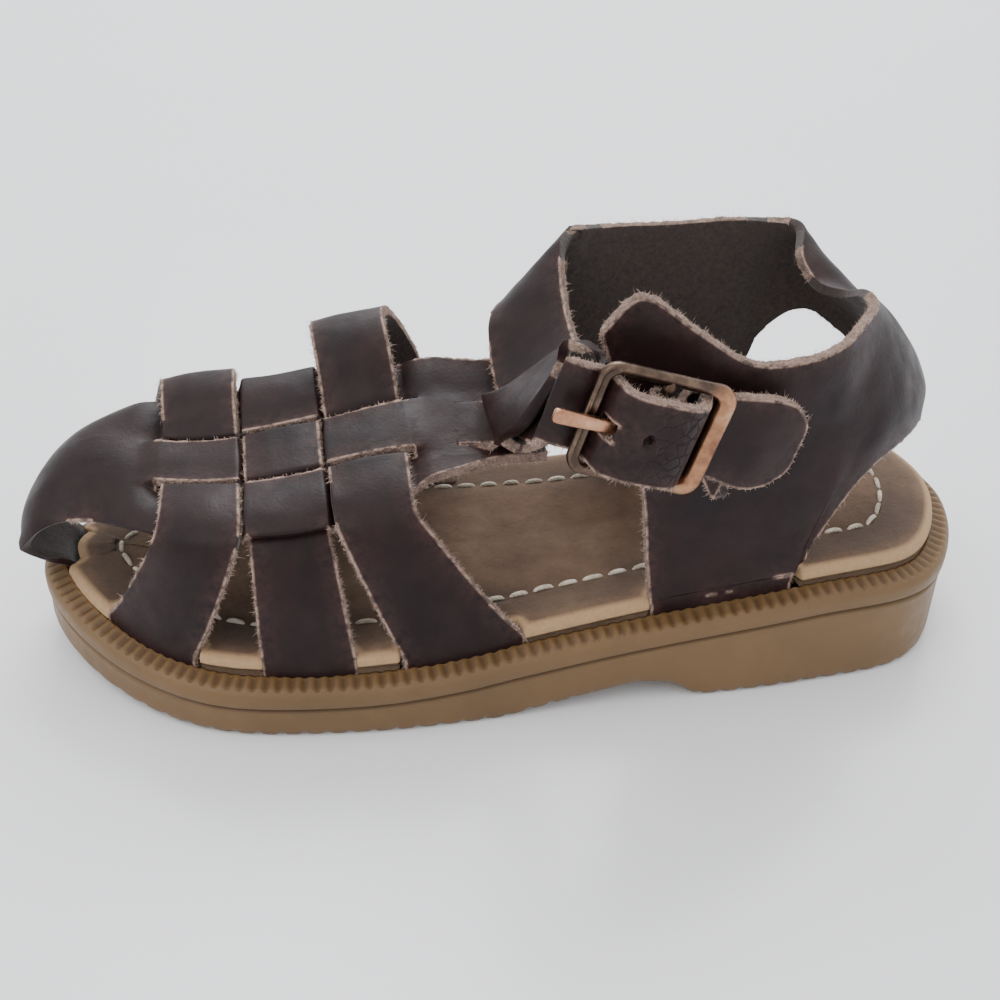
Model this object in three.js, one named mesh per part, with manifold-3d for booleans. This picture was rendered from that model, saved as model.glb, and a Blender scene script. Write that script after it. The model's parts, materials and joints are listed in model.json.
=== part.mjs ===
// Left woven-leather fisherman sandal, toddler size: rubber unit sole, layered footbed,
// slit vamp woven through three cross straps, one-piece quarter with ankle strap, buckle.
// Millimetres. Toe towards -X, buckle (lateral) side towards -Y, ground at z = 0.
import * as THREE from 'three';
import { mergeVertices } from 'three/addons/utils/BufferGeometryUtils.js';
import Module from 'manifold-3d';

const wasm = await Module();
wasm.setup();

// ---------------------------------------------------------------- driving dimensions
const soleLength = 140;
const soleWidth = 57;
const forefootHeight = 7.9; // top of the rim under the ball of the foot
const heelHeight = 15.8; // top of the rim over the heel block
const toeSpring = 3.85; // lift of the toe tip
const archHeight = 4.2; // clearance under the waist, just ahead of the heel block
const upperHeight = 63.5; // top of the lateral quarter above the ground

const rimWidth = 2.9;
const rimRise = 0.9; // the ribbed rim climbs this much towards the footbed
const rimRound = 0.7;
const seatDepth = 2.8; // floor of the seat below the rim's outer edge

const leather = 1.5;
const tabLeather = 1.0;
const clearance = 0.3;
const tuckLength = 7; // margin of each strap turned in under the footbed

const boardThickness = 1.2;
const foamThickness = 1.3;
const coverThickness = 1.1;
const threadInset = 6;
const threadWidth = 0.8;

const stripPitch = 10.2; // vamp strips, centre to centre
const slitWidth = 0.8;
const weaveStart = -50.3; // front edge of the front cross strap on the last
const crossStrapPitch = 11.6;
const crossStrapGap = 0.7;

const ankleStrapWidth = 11.8;
const loopWidth = 7.5;
const frameLength = 18.5; // buckle frame along the strap, outside
const frameBar = 1.6; // thickness of the three thin sides
const gripBar = 2.8; // thickness of the rear bar
const centreBar = 1.6;
const prongWidth = 1.8;
const windowClearance = 0.5; // strap edge to frame, each side
const buckleTilt = THREE.MathUtils.degToRad(-17);
const framePlay = 0.5; // strap to frame, so that the frame can rock on its centre bar

// The upper was drawn on a 140 x 57 mm sole, 63.5 mm high, and is graded from there.
const lengthGrade = soleLength / 140;
const widthGrade = soleWidth / 57;
const heightGrade = upperHeight / 63.5;

function graded(x, y, z) {
  return new THREE.Vector3(x * lengthGrade, y * widthGrade, z * heightGrade);
}

// ---------------------------------------------------------------- sole surfaces
function smooth(value, low, high) {
  return THREE.MathUtils.smoothstep(value, low, high);
}

function toeLift(x) {
  const past = Math.max(0, (-38 * lengthGrade - x) / (32 * lengthGrade));
  return toeSpring * past * past;
}

// height of the rim's outer edge
function rimTop(x) {
  const climb = smooth(x / lengthGrade, -30, 50);
  return forefootHeight + (heelHeight - forefootHeight) * climb + toeLift(x);
}

// underside: tread, arch rising to the waist, sloped heel breast, heel block
function treadHeight(x) {
  const across = x / lengthGrade;
  const arch = archHeight * THREE.MathUtils.clamp((across + 5) / 23.5, 0, 1);
  const breast = THREE.MathUtils.clamp((22.5 - across) / 4, 0, 1);
  return toeLift(x) + arch * breast;
}

const seatTop = (x) => rimTop(x) - seatDepth;
const tuckHeight = (x) => seatTop(x) + clearance + leather / 2;
const boardBottom = (x) => seatTop(x) + leather + 2 * clearance;
const boardTop = (x) => boardBottom(x) + boardThickness;
const foamBottom = (x) => boardTop(x) + clearance;
const foamTop = (x) => foamBottom(x) + foamThickness;
const coverBottom = (x) => foamTop(x) + clearance;
const coverTop = (x) => coverBottom(x) + coverThickness;

// ---------------------------------------------------------------- sole outline
const outlinePoints = [
  [-70, 5], [-63.5, -11], [-48, -24], [-25, -28], [10, -26.5], [40, -25.5], [60, -21],
  [70, 0], [60, 21.5], [40, 20], [10, 22.5], [-25, 29], [-46, 25.5], [-62.5, 17.5],
];
const outlineCurve = new THREE.CatmullRomCurve3(
  outlinePoints.map(([x, y]) => graded(x, y, 0)), true, 'centripetal',
);
const outlineSamples = outlineCurve.getPoints(560);
const ringSize = 88;

// where the outline crosses the station x on one side (-1 lateral, 1 medial)
function crossing(samples, x, side) {
  let best = null;
  for (let i = 0; i < samples.length; i += 1) {
    const a = samples[i];
    const b = samples[(i + 1) % samples.length];
    const spans = (a.x - x) * (b.x - x) <= 0 && a.x !== b.x;
    if (!spans) continue;
    const y = a.y + (b.y - a.y) * (x - a.x) / (b.x - a.x);
    if (best === null || side * y > side * best) best = y;
  }
  return best;
}

function outlineRing() {
  const toe = outlineSamples.reduce((low, p) => (p.x < low.x ? p : low));
  const heel = outlineSamples.reduce((high, p) => (p.x > high.x ? p : high));
  const half = ringSize / 2;
  const ring = [];
  for (let i = 0; i < ringSize; i += 1) {
    const angle = Math.PI * i / half;
    const x = (toe.x + heel.x) / 2 - (heel.x - toe.x) / 2 * Math.cos(angle);
    if (i === 0) ring.push(new THREE.Vector2(toe.x, toe.y));
    else if (i === half) ring.push(new THREE.Vector2(heel.x, heel.y));
    else ring.push(new THREE.Vector2(x, crossing(outlineSamples, x, i < half ? -1 : 1)));
  }
  return ring;
}

const outerRing = outlineRing();

// the sole outline moved inwards by a distance
function insetRing(inset) {
  return outerRing.map((point, i) => {
    const before = outerRing[(i + ringSize - 1) % ringSize];
    const after = outerRing[(i + 1) % ringSize];
    const along = after.clone().sub(before).normalize();
    return new THREE.Vector2(point.x - along.y * inset, point.y + along.x * inset);
  });
}

function sideY(x, side, inset) {
  return crossing(insetRing(inset), x, side);
}

// ---------------------------------------------------------------- solids
function indexed(positions, faces) {
  const geometry = new THREE.BufferGeometry();
  geometry.setAttribute('position', new THREE.Float32BufferAttribute(positions, 3));
  geometry.setIndex(faces);
  return geometry;
}

// A stack of sole-shaped rings, closed below the first and above the last.
function ringSolid(levels) {
  const positions = [];
  for (const { inset, height } of levels) {
    for (const point of insetRing(inset)) positions.push(point.x, point.y, height(point.x));
  }
  const faces = [];
  const half = ringSize / 2;
  const top = (levels.length - 1) * ringSize;
  for (let i = 0; i < ringSize; i += 1) {
    const next = (i + 1) % ringSize;
    for (let k = 0; k + 1 < levels.length; k += 1) {
      const low = k * ringSize;
      const high = low + ringSize;
      faces.push(low + i, low + next, high + next, low + i, high + next, high + i);
    }
  }
  for (let i = 0; i < half; i += 1) {
    const medial = (ringSize - i) % ringSize;
    const medialNext = ringSize - i - 1;
    if (i + 1 < half) {
      faces.push(top + i, top + i + 1, top + medialNext);
      faces.push(i, medialNext, i + 1);
    }
    if (i > 0) {
      faces.push(top + i, top + medialNext, top + medial);
      faces.push(i, medial, medialNext);
    }
  }
  return indexed(positions, faces);
}

function stops(from, to, count) {
  return Array.from({ length: count + 1 }, (_, i) => from + (to - from) * i / count);
}

// A piece of sheet leather. surface(s, t) is its base surface, lift(s, t) how far it is
// raised along that surface's normal, and keep(s, t) tells which cells are leather.
function leatherSheet({ surface, sStops, tStops, thickness = leather, lift = () => 0,
  keep = () => true, closed = false }) {
  const step = 1e-3;
  const rows = closed ? sStops.length - 1 : sStops.length;
  const columns = tStops.length;
  const positions = [];
  for (const face of [0.5, -0.5]) {
    for (let i = 0; i < rows; i += 1) {
      for (let j = 0; j < columns; j += 1) {
        const s = sStops[i];
        const t = tStops[j];
        const alongS = surface(s + step, t).sub(surface(s - step, t));
        const alongT = surface(s, t + step).sub(surface(s, t - step));
        const normal = alongS.cross(alongT).normalize();
        const point = surface(s, t).addScaledVector(normal, lift(s, t) + face * thickness);
        positions.push(point.x, point.y, point.z);
      }
    }
  }
  const under = rows * columns;
  const at = (i, j) => (i % rows) * columns + j;
  const rowCells = sStops.length - 1;
  const kept = (i, j) => {
    if (j < 0 || j >= columns - 1) return false;
    if (!closed && (i < 0 || i >= rowCells)) return false;
    const row = (i + rowCells) % rowCells;
    return keep((sStops[row] + sStops[row + 1]) / 2, (tStops[j] + tStops[j + 1]) / 2);
  };
  const faces = [];
  for (let i = 0; i < rowCells; i += 1) {
    for (let j = 0; j < columns - 1; j += 1) {
      if (!kept(i, j)) continue;
      const a = at(i, j);
      const b = at(i + 1, j);
      const c = at(i + 1, j + 1);
      const d = at(i, j + 1);
      faces.push(a, b, c, a, c, d);
      faces.push(under + a, under + c, under + b, under + a, under + d, under + c);
      const sides = [[a, b, i, j - 1], [b, c, i + 1, j], [c, d, i, j + 1], [d, a, i - 1, j]];
      for (const [from, to, row, column] of sides) {
        if (kept(row, column)) continue;
        faces.push(to, from, under + from, to, under + from, under + to);
      }
    }
  }
  return indexed(positions, faces);
}

function toSolid(geometry) {
  const bare = geometry.clone();
  bare.deleteAttribute('normal');
  bare.deleteAttribute('uv');
  const merged = mergeVertices(bare, 1e-4);
  return new wasm.Manifold(new wasm.Mesh({
    numProp: 3,
    vertProperties: new Float32Array(merged.attributes.position.array),
    triVerts: new Uint32Array(merged.index.array),
  }));
}

function toGeometry(solid) {
  const mesh = solid.getMesh();
  return indexed(Array.from(mesh.vertProperties), Array.from(mesh.triVerts));
}

// lapped sheets become one body; the thin pockets sealed between the laps are filled
function join(...geometries) {
  const whole = geometries.map(toSolid).reduce((sum, next) => sum.add(next));
  const shells = whole.decompose();
  return toGeometry(shells.reduce((most, shell) => (shell.volume() > most.volume() ? shell : most)));
}

function cut(geometry, ...tools) {
  return toGeometry(tools.map(toSolid).reduce((rest, tool) => rest.subtract(tool), toSolid(geometry)));
}

function curveThrough(points) {
  return new THREE.CatmullRomCurve3(points, false, 'centripetal');
}

// ---------------------------------------------------------------- rubber unit sole
function outsole() {
  return ringSolid([
    { inset: 0.9, height: treadHeight },
    { inset: 0.2, height: (x) => treadHeight(x) + 0.8 },
    { inset: 0.5, height: (x) => rimTop(x) - 3.6 },
    { inset: 0, height: (x) => rimTop(x) - 3.0 },
    { inset: 0, height: (x) => rimTop(x) - rimRound },
    { inset: rimRound, height: rimTop },
    { inset: rimWidth, height: (x) => rimTop(x) + rimRise },
    { inset: rimWidth, height: seatTop },
  ]);
}

// ---------------------------------------------------------------- footbed
const wallInset = rimWidth + clearance + leather / 2; // middle of a strap at the rim
const footbedInset = rimWidth + leather + 2 * clearance;
const fillerInset = wallInset + tuckLength + 3 * clearance;

function soleFiller() {
  return ringSolid([
    { inset: fillerInset, height: (x) => seatTop(x) + clearance },
    { inset: fillerInset, height: (x) => boardBottom(x) - clearance },
  ]);
}

// the board stands clear of the bend where the straps turn in under it
function insoleBoard() {
  const inset = footbedInset + leather / 2;
  return ringSolid([
    { inset, height: boardBottom },
    { inset, height: boardTop },
  ]);
}

function footbedFoam() {
  const inset = footbedInset + coverThickness + clearance;
  return ringSolid([
    { inset, height: foamBottom },
    { inset, height: foamTop },
  ]);
}

// the suede cover turns down over the edge of the foam
function footbedCover() {
  return ringSolid([
    { inset: footbedInset + coverThickness, height: coverBottom },
    { inset: footbedInset + coverThickness, height: foamBottom },
    { inset: footbedInset, height: foamBottom },
    { inset: footbedInset, height: (x) => coverTop(x) - 0.5 },
    { inset: footbedInset + 0.5, height: coverTop },
  ]);
}

function footbedThread() {
  const ring = insetRing(footbedInset + threadInset);
  const height = (x) => coverTop(x) + clearance + threadWidth / 2;
  return leatherSheet({
    surface: (s, t) => {
      const index = (s % 1 + 1) % 1 * ringSize;
      const low = Math.floor(index);
      const a = ring[low % ringSize];
      const b = ring[(low + 1) % ringSize];
      const centre = a.clone().lerp(b, index - low);
      const across = centre.clone().normalize().multiplyScalar(-(t - 0.5) * threadWidth);
      return new THREE.Vector3(centre.x + across.x, centre.y + across.y, height(centre.x));
    },
    sStops: stops(0, 1, ringSize),
    tStops: [0, 1],
    thickness: threadWidth,
    closed: true,
  });
}

// ---------------------------------------------------------------- the last
// Four lines run from the tuck at the toe to the instep: the long edges of the vamp strips.
// travel counts along the last and equals x from the toe box back.
const stations = [-92, -88, -85, -82, -76, -70, -64, -58, -52, -45, -33, -22, -13, -3, 5];
const stripLines = [
  [[-68.4, -1], [-70.8, -2.5], [-66.8, -3.5], [-60.5, -4.8], [-52, -12], [-45, -16.5], [-33, -18.2],
    [-22, -17.8], [-13, -17.5], [-3, -17], [5, -17]],
  [[-68.8, 2.6], [-71.2, 2], [-67.2, 1.5], [-60.5, 1], [-52, -3.2], [-45, -6.3], [-33, -8],
    [-22, -7.7], [-13, -7.5], [-3, -7.2], [5, -7]],
  [[-68.6, 6.2], [-70.4, 7], [-66.4, 7.5], [-60.3, 7.6], [-52, 6], [-45, 3.9], [-33, 2.2],
    [-22, 2.5], [-13, 2.7], [-3, 3], [5, 3.2]],
  [[-67.6, 10.5], [-69, 12], [-65.2, 13.5], [-59.6, 14.2], [-52, 14.8], [-45, 14.1], [-33, 12.4],
    [-22, 12.7], [-13, 13], [-3, 13.2], [5, 13.4]],
];
const stripHeights = [
  [15, 18.2, 22.6, 23.6, 26, 27.2, 28.1, 29, 30, 30, 30],
  [15.2, 19.5, 25.6, 27.4, 27.6, 28.4, 30.2, 32.4, 33.2, 33, 33],
  [15.2, 19.8, 26.6, 29.4, 29, 29.6, 32.1, 34.2, 35.8, 36.2, 36.4],
  [15, 18.5, 25, 28.8, 31.2, 32.6, 34.6, 36.6, 38.4, 39.6, 40],
];
const toeTuckAcross = [0.4, 3, 5.8, 8.8]; // where each line passes under the toe of the footbed

// the inside of the toe: the frontmost point at a given y, a distance in from the outline
function toeX(y, inset) {
  const turned = insetRing(inset).map((point) => new THREE.Vector2(point.y, -point.x));
  return -crossing(turned, y, 1);
}

function toeTuck(y) {
  const end = toeX(y, wallInset + tuckLength);
  const bend = toeX(y, wallInset + leather);
  const wall = toeX(y, wallInset);
  return [
    new THREE.Vector3(end, y, tuckHeight(end)),
    new THREE.Vector3(bend, y, tuckHeight(bend)),
    new THREE.Vector3(wall, y, tuckHeight(wall) + leather),
    new THREE.Vector3(wall, y, rimTop(wall) + rimRise + leather),
  ];
}

const stripCurves = stripLines.map((line, k) => curveThrough([
  ...toeTuck(toeTuckAcross[k] * widthGrade),
  ...line.map(([x, y], i) => graded(x, y, stripHeights[k][i])),
]));

function onStripLine(k, travel) {
  const unit = travel / lengthGrade;
  let i = 0;
  while (i < stations.length - 2 && unit > stations[i + 1]) i += 1;
  const part = (unit - stations[i]) / (stations[i + 1] - stations[i]);
  const at = THREE.MathUtils.clamp((i + part) / (stations.length - 1), 0, 1);
  const point = stripCurves[k].getPoint(at);
  if (unit >= -52) point.x = travel;
  return point;
}

// Rows across the last: 0 lateral tuck, 1-2 corner, 3 rim, 4 side, 5-8 strip edges,
// 9 side, 10 rim, 11-12 corner, 13 medial tuck.
const lastRow = { rim: 3, strips: 5, medialTuck: 13 };

function wallRows(x, side) {
  const wall = sideY(x, side, wallInset);
  const low = tuckHeight(x);
  return [
    new THREE.Vector3(x, wall - side * tuckLength, low),
    new THREE.Vector3(x, wall - side * leather, low),
    new THREE.Vector3(x, wall, low + leather),
    new THREE.Vector3(x, wall, rimTop(x) + rimRise + leather),
  ];
}

function sidePoint(rim, top, side, share) {
  const point = rim.clone().lerp(top, share);
  point.y = rim.y + (top.y - rim.y) * share * 0.55 + side * 0.3;
  return point;
}

const lastCache = new Map();

function lastSection(travel) {
  const key = travel.toFixed(5);
  if (!lastCache.has(key)) {
    const strips = [0, 1, 2, 3].map((k) => onStripLine(k, travel));
    const lateral = wallRows(travel, -1);
    const medial = wallRows(travel, 1);
    lastCache.set(key, curveThrough([
      ...lateral,
      sidePoint(lateral[3], strips[0], -1, 0.52),
      ...strips,
      sidePoint(medial[3], strips[3], 1, 0.6),
      ...medial.reverse(),
    ]));
  }
  return lastCache.get(key);
}

function last(travel, row) {
  return lastSection(travel).getPoint(THREE.MathUtils.clamp(row / lastRow.medialTuck, 0, 1));
}

// ---------------------------------------------------------------- weave
const layer = (leather + clearance) / 2; // each layer sits this far off the last
const slitShare = slitWidth / stripPitch;
const strapStarts = [0, 1, 2].map((k) => weaveStart * lengthGrade + k * crossStrapPitch);
const strapEnds = strapStarts.map((start) => start + crossStrapPitch - crossStrapGap);

// +1 where a cross strap lies over a vamp strip; both count from 0
const strapOver = (strap, strip) => ((strap + strip) % 2 === 0 ? 1 : -1);

// ramp between neighbouring levels across the narrow gaps
function rampThrough(value, knots) {
  if (value <= knots[0][0]) return knots[0][1];
  for (let i = 1; i < knots.length; i += 1) {
    if (value > knots[i][0]) continue;
    const [from, low] = knots[i - 1];
    const [to, high] = knots[i];
    return low + (high - low) * (value - from) / (to - from);
  }
  return knots[knots.length - 1][1];
}

function strapLift(strap, row, bulge) {
  const first = lastRow.strips;
  const half = slitShare / 2;
  const levels = [0, 1, 2].map((strip) => layer * strapOver(strap, strip));
  const weave = rampThrough(row, [
    [first - 1, 0], [first - 0.15, levels[0]],
    [first + 1 - half, levels[0]], [first + 1 + half, levels[1]],
    [first + 2 - half, levels[1]], [first + 2 + half, levels[2]],
    [first + 3 + 0.15, levels[2]], [first + 4, 0],
  ]);
  const rise = smooth(row, bulge.from, bulge.top);
  const fall = smooth(row, bulge.top, bulge.to);
  return weave + bulge.height * rise * (1 - fall);
}

// Front to rear. The feet are x positions along the sole; the bulge is where a strap stands
// off the last between the weave and the medial edge of the sole, counted in rows.
const crossStraps = [
  {
    name: 'cross_strap_front',
    lateralFoot: [-59, -47],
    medialFoot: [-57, -45],
    bulge: { height: 2, from: 7, top: 8.2, to: 9.6 },
  },
  {
    name: 'cross_strap_middle',
    lateralFoot: [-38, -25],
    medialFoot: [-36, -24],
    bulge: { height: 2.4, from: 7.9, top: 8.6, to: 9.8 },
  },
  {
    name: 'cross_strap_rear',
    lateralFoot: [-18.6, -1.5],
    medialFoot: [-20, -4],
    bulge: { height: 7, from: 7.1, top: 8.2, to: 9.7 },
  },
];

// tops of the straps keep their place in the weave, their feet fan out along the sole
function crossStrap(strap, { lateralFoot, medialFoot, bulge }) {
  const fanned = (row, across) => {
    const top = strapStarts[strap] + (strapEnds[strap] - strapStarts[strap]) * across;
    const foot = row < 7 ? lateralFoot : medialFoot;
    const bottom = (foot[0] + (foot[1] - foot[0]) * across) * lengthGrade;
    const away = row < 7
      ? 1 - THREE.MathUtils.clamp((row - lastRow.rim) / 2, 0, 1)
      : THREE.MathUtils.clamp((row - lastRow.strips - 3) / 2, 0, 1);
    return top + (bottom - top) * away;
  };
  const half = slitShare / 2;
  const rows = [
    0, 1, 1.5, 2, 2.5, 3, 3.33, 3.67, 4, 4.3, 4.6, 4.85, 5, 5.33, 5.67, 6 - half, 6 + half,
    6.33, 6.67, 7 - half, 7 + half, 7.33, 7.67, 8, 8.15, 8.4, 8.7, 9, 9.33, 9.67, 10, 10.5, 11,
    11.5, 12, 13,
  ];
  return leatherSheet({
    surface: (row, across) => last(fanned(row, across), row),
    sStops: rows,
    tStops: stops(0, 1, 4),
    lift: (row) => -strapLift(strap, row, bulge),
  });
}

// ---------------------------------------------------------------- vamp
const tongueEnd = 3.5 * lengthGrade;

function vampLift(travel, row) {
  const strip = Math.min(2, Math.max(0, Math.floor(row - lastRow.strips)));
  const levels = [0, 1, 2].map((strap) => -layer * strapOver(strap, strip));
  const gap = crossStrapGap;
  return rampThrough(travel, [
    [strapStarts[0] - 3, 0], [strapStarts[0] - gap, levels[0]],
    [strapEnds[0], levels[0]], [strapStarts[1], levels[1]],
    [strapEnds[1], levels[1]], [strapStarts[2], levels[2]],
    [strapEnds[2] + gap, levels[2]], [strapEnds[2] + 3, 0],
  ]);
}

// the two outer strips taper under the rear strap and on over the instep
function tapered(row, travel) {
  const first = lastRow.strips;
  const unit = travel / lengthGrade;
  const under = smooth(unit, -22, -13);
  const beyond = smooth(unit, -14, -2);
  if (row < first + 1) return first + 1 - (first + 1 - row) * (1 - 0.55 * under - 0.25 * beyond);
  if (row > first + 2) return first + 2 + (row - first - 2) * (1 - 0.3 * under - 0.2 * beyond);
  return row;
}

function vamp(rails) {
  const first = lastRow.strips;
  const half = slitShare / 2;
  const slitFrom = strapStarts[0] - 1;
  const slitTo = strapEnds[2] + 1;
  const surface = (row, travel) => last(travel, tapered(row, travel));
  const toeStops = [
    -92, -90, -88, -86.5, -85, -83.5, -82, -79, -76, -73, -70, -67, -64, -61, -58, -55,
  ].map((travel) => travel * lengthGrade);
  const weaveStops = [strapStarts[0] - 3, slitFrom, strapStarts[0] - crossStrapGap];
  for (let k = 0; k < 3; k += 1) weaveStops.push(...stops(strapStarts[k], strapEnds[k], 4));
  const instepStops = stops(strapEnds[2] + 3, tongueEnd, 8);
  const rows = [
    first, first + 0.25, first + 0.5, first + 0.75, first + 1 - half,
    first + 1 + half, first + 1.25, first + 1.5, first + 1.75, first + 2 - half,
    first + 2 + half, first + 2.25, first + 2.5, first + 2.75, first + 3,
  ];
  const inSlit = (row) => Math.abs(row - first - 1) < half || Math.abs(row - first - 2) < half;
  const sheet = leatherSheet({
    surface,
    sStops: rows,
    tStops: [...toeStops, ...weaveStops, strapEnds[2] + crossStrapGap, slitTo, ...instepStops],
    lift: (row, travel) => -vampLift(travel, row),
    keep: (row, travel) => !(inSlit(row) && travel > slitFrom && travel < slitTo),
  });
  const loop = loopSurface(rails);
  return join(sheet, loopBand(loop), loopRoot(loop));
}

// The end of the vamp is folded round the ankle strap and sewn back down as a loop. It
// crosses the strap at a slant: loopAtLow and loopAtHigh are its places on the two edges.
const loopAtLow = 0.235;
const loopAtHigh = 0.295;

function loopSurface(rails) {
  const [low, high] = rails;
  const span = loopWidth / low.getLength() / 2;
  return (s, t) => {
    const angle = s * Math.PI * 2;
    const share = (1 - Math.cos(angle)) / 2;
    const place = loopAtLow + (loopAtHigh - loopAtLow) * share + (t - 0.5) * 2 * span;
    const lowPoint = low.getPoint(place);
    const highPoint = high.getPoint(place);
    const across = highPoint.clone().sub(lowPoint).normalize();
    const along = low.getTangent(place);
    const out = across.clone().cross(along).normalize();
    const boxy = (value) => Math.sign(value) * Math.abs(value) ** 0.45;
    const reach = lowPoint.distanceTo(highPoint) / 2 + 3 * clearance + leather / 2;
    return lowPoint.lerp(highPoint, 0.5)
      .addScaledVector(across, -boxy(Math.cos(angle)) * reach)
      .addScaledVector(out, boxy(Math.sin(angle)) * (leather + 2.8 * clearance));
  };
}

function loopBand(surface) {
  return leatherSheet({
    surface, sStops: stops(0, 1, 36), tStops: stops(0, 1, 3), closed: true,
  });
}

// smooth ramp from the vamp's tongue up to the front of the loop
function loopRoot(surface) {
  const onTongue = (travel, t) => last(travel * lengthGrade, 6.45 + 0.75 * (0.5 - t));
  const ramp = (t) => new THREE.QuadraticBezierCurve3(
    onTongue(-9, t), onTongue(-3.5, t), surface(0, t),
  );
  return leatherSheet({
    surface: (s, t) => ramp(t).getPoint(s),
    sStops: stops(0, 1, 6),
    tStops: stops(0, 1, 3),
  });
}

// ---------------------------------------------------------------- quarter
// Posts of the quarter from its lateral front edge round the heel to the medial front
// edge, each from the lower edge (null: it reaches the sole) to the top edge.
const quarterPosts = [
  { x: 16.5, side: -1, rest: [[15.2, -22, 24], [14, -22, 34], [10.6, -22, 46], [6.4, -22, 58.4]] },
  { x: 19.5, side: -1, rest: [[18.4, -22, 24], [17.4, -22, 35], [14.6, -22, 49], [11, -22.4, 63.4]] },
  { x: 24.5, side: -1, rest: [[23.6, -22, 24], [22.8, -22, 34], [21, -21.8, 46], [18.6, -22.6, 58.6]] },
  { x: 31, side: -1, rest: [[30.4, -21.8, 24], [29.6, -21.8, 33], [28.4, -21.8, 43], [27, -22.2, 53]] },
  { x: 37.3, side: -1, rest: [[38, -21.4, 23], [38, -21.4, 32], [37, -21, 43], [35.4, -21, 52.8]] },
  { rest: [[39.6, -21.7, 24], [41, -21.2, 30], [42, -20.6, 36], [41.4, -19.2, 45], [40.6, -18.4, 53.4]] },
  { rest: [[46.5, -19, 33], [47.5, -18, 38], [47.2, -16.4, 43], [46, -14.6, 48.4], [44.8, -13.6, 53.6]] },
  { rest: [[53.5, -14, 34.6], [54.2, -12.8, 39.2], [53, -11, 44], [50.8, -9.2, 49], [48.8, -8, 53.2]] },
  { rest: [[59.6, -7, 34.4], [59.8, -6, 38.6], [57.4, -4.6, 43.6], [54, -3.4, 48.6], [49.8, -2, 52.4]] },
  { rest: [[62, 0.5, 33.4], [61.8, 0.8, 37.8], [58.6, 1, 43.2], [54, 1.6, 47.8], [48.8, 2, 50.2]] },
  { rest: [[60, 8.6, 35], [59, 8, 40.4], [55.2, 7.4, 45.4], [51, 6.8, 49.4], [46, 6, 50]] },
  { rest: [[55, 14.6, 38.4], [54.8, 14.4, 42.8], [52.2, 13.4, 47.6], [48.8, 12, 51.6], [44.6, 10.6, 52.6]] },
  { rest: [[50, 18.6, 40.4], [50.2, 19, 44], [49.4, 18.9, 48], [48.2, 18.4, 52], [46.6, 17.4, 55]] },
  { rest: [[43.2, 19.8, 35], [43, 20.4, 40], [42.4, 20.4, 45], [41.6, 20.2, 50], [40.6, 19.8, 55.2]] },
  { x: 37.3, side: 1, rest: [[38.6, 18.6, 24], [38, 19.6, 34], [37, 20, 44.6], [35.4, 20.2, 55.2]] },
  { x: 31, side: 1, rest: [[30.6, 18.6, 24], [30, 19.6, 34], [29.2, 20.2, 44.6], [28, 20.4, 54.8]] },
  { x: 24.5, side: 1, rest: [[24, 18.6, 24], [23.6, 19.8, 34], [22.6, 20.6, 44.6], [21, 20.8, 54.6]] },
  { x: 17.5, side: 1, rest: [[16.6, 18.8, 24], [14.2, 19.8, 34], [11, 19.8, 43.6], [11, 18.2, 55.4]] },
];

function quarterFoot(x, side) {
  const wall = sideY(x, side, wallInset);
  return new THREE.Vector3(x, wall, rimTop(x) + rimRise + leather);
}

function quarterSurface() {
  const posts = quarterPosts.map(({ x, side, rest }) => {
    const points = rest.map(([px, py, pz]) => graded(px, py, pz));
    if (side) points.unshift(quarterFoot(x * lengthGrade, side));
    return points;
  });
  const lines = stops(0, 4, 4).map((row) => curveThrough(posts.map((points) => points[row])));
  return (s, t) => {
    const column = curveThrough(lines.map((line) => line.getPoint(THREE.MathUtils.clamp(s, 0, 1))));
    return column.getPoint(THREE.MathUtils.clamp(t, 0, 1));
  };
}

// the two lower ends of the quarter turn in under the footbed
function quarterTuck(side) {
  const ends = [16.6, 37.2].map((x) => x * lengthGrade);
  const section = (across) => {
    const x = ends[0] + (ends[1] - ends[0]) * across;
    const rows = wallRows(x, side);
    rows.push(new THREE.Vector3(x, rows[3].y, rows[3].z + 0.9));
    return curveThrough(rows);
  };
  return leatherSheet({
    surface: (s, t) => section(s).getPoint(THREE.MathUtils.clamp(t, 0, 1)),
    sStops: stops(0, 1, 6),
    tStops: [0, 0.25, 0.375, 0.5, 0.75, 1],
  });
}

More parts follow.
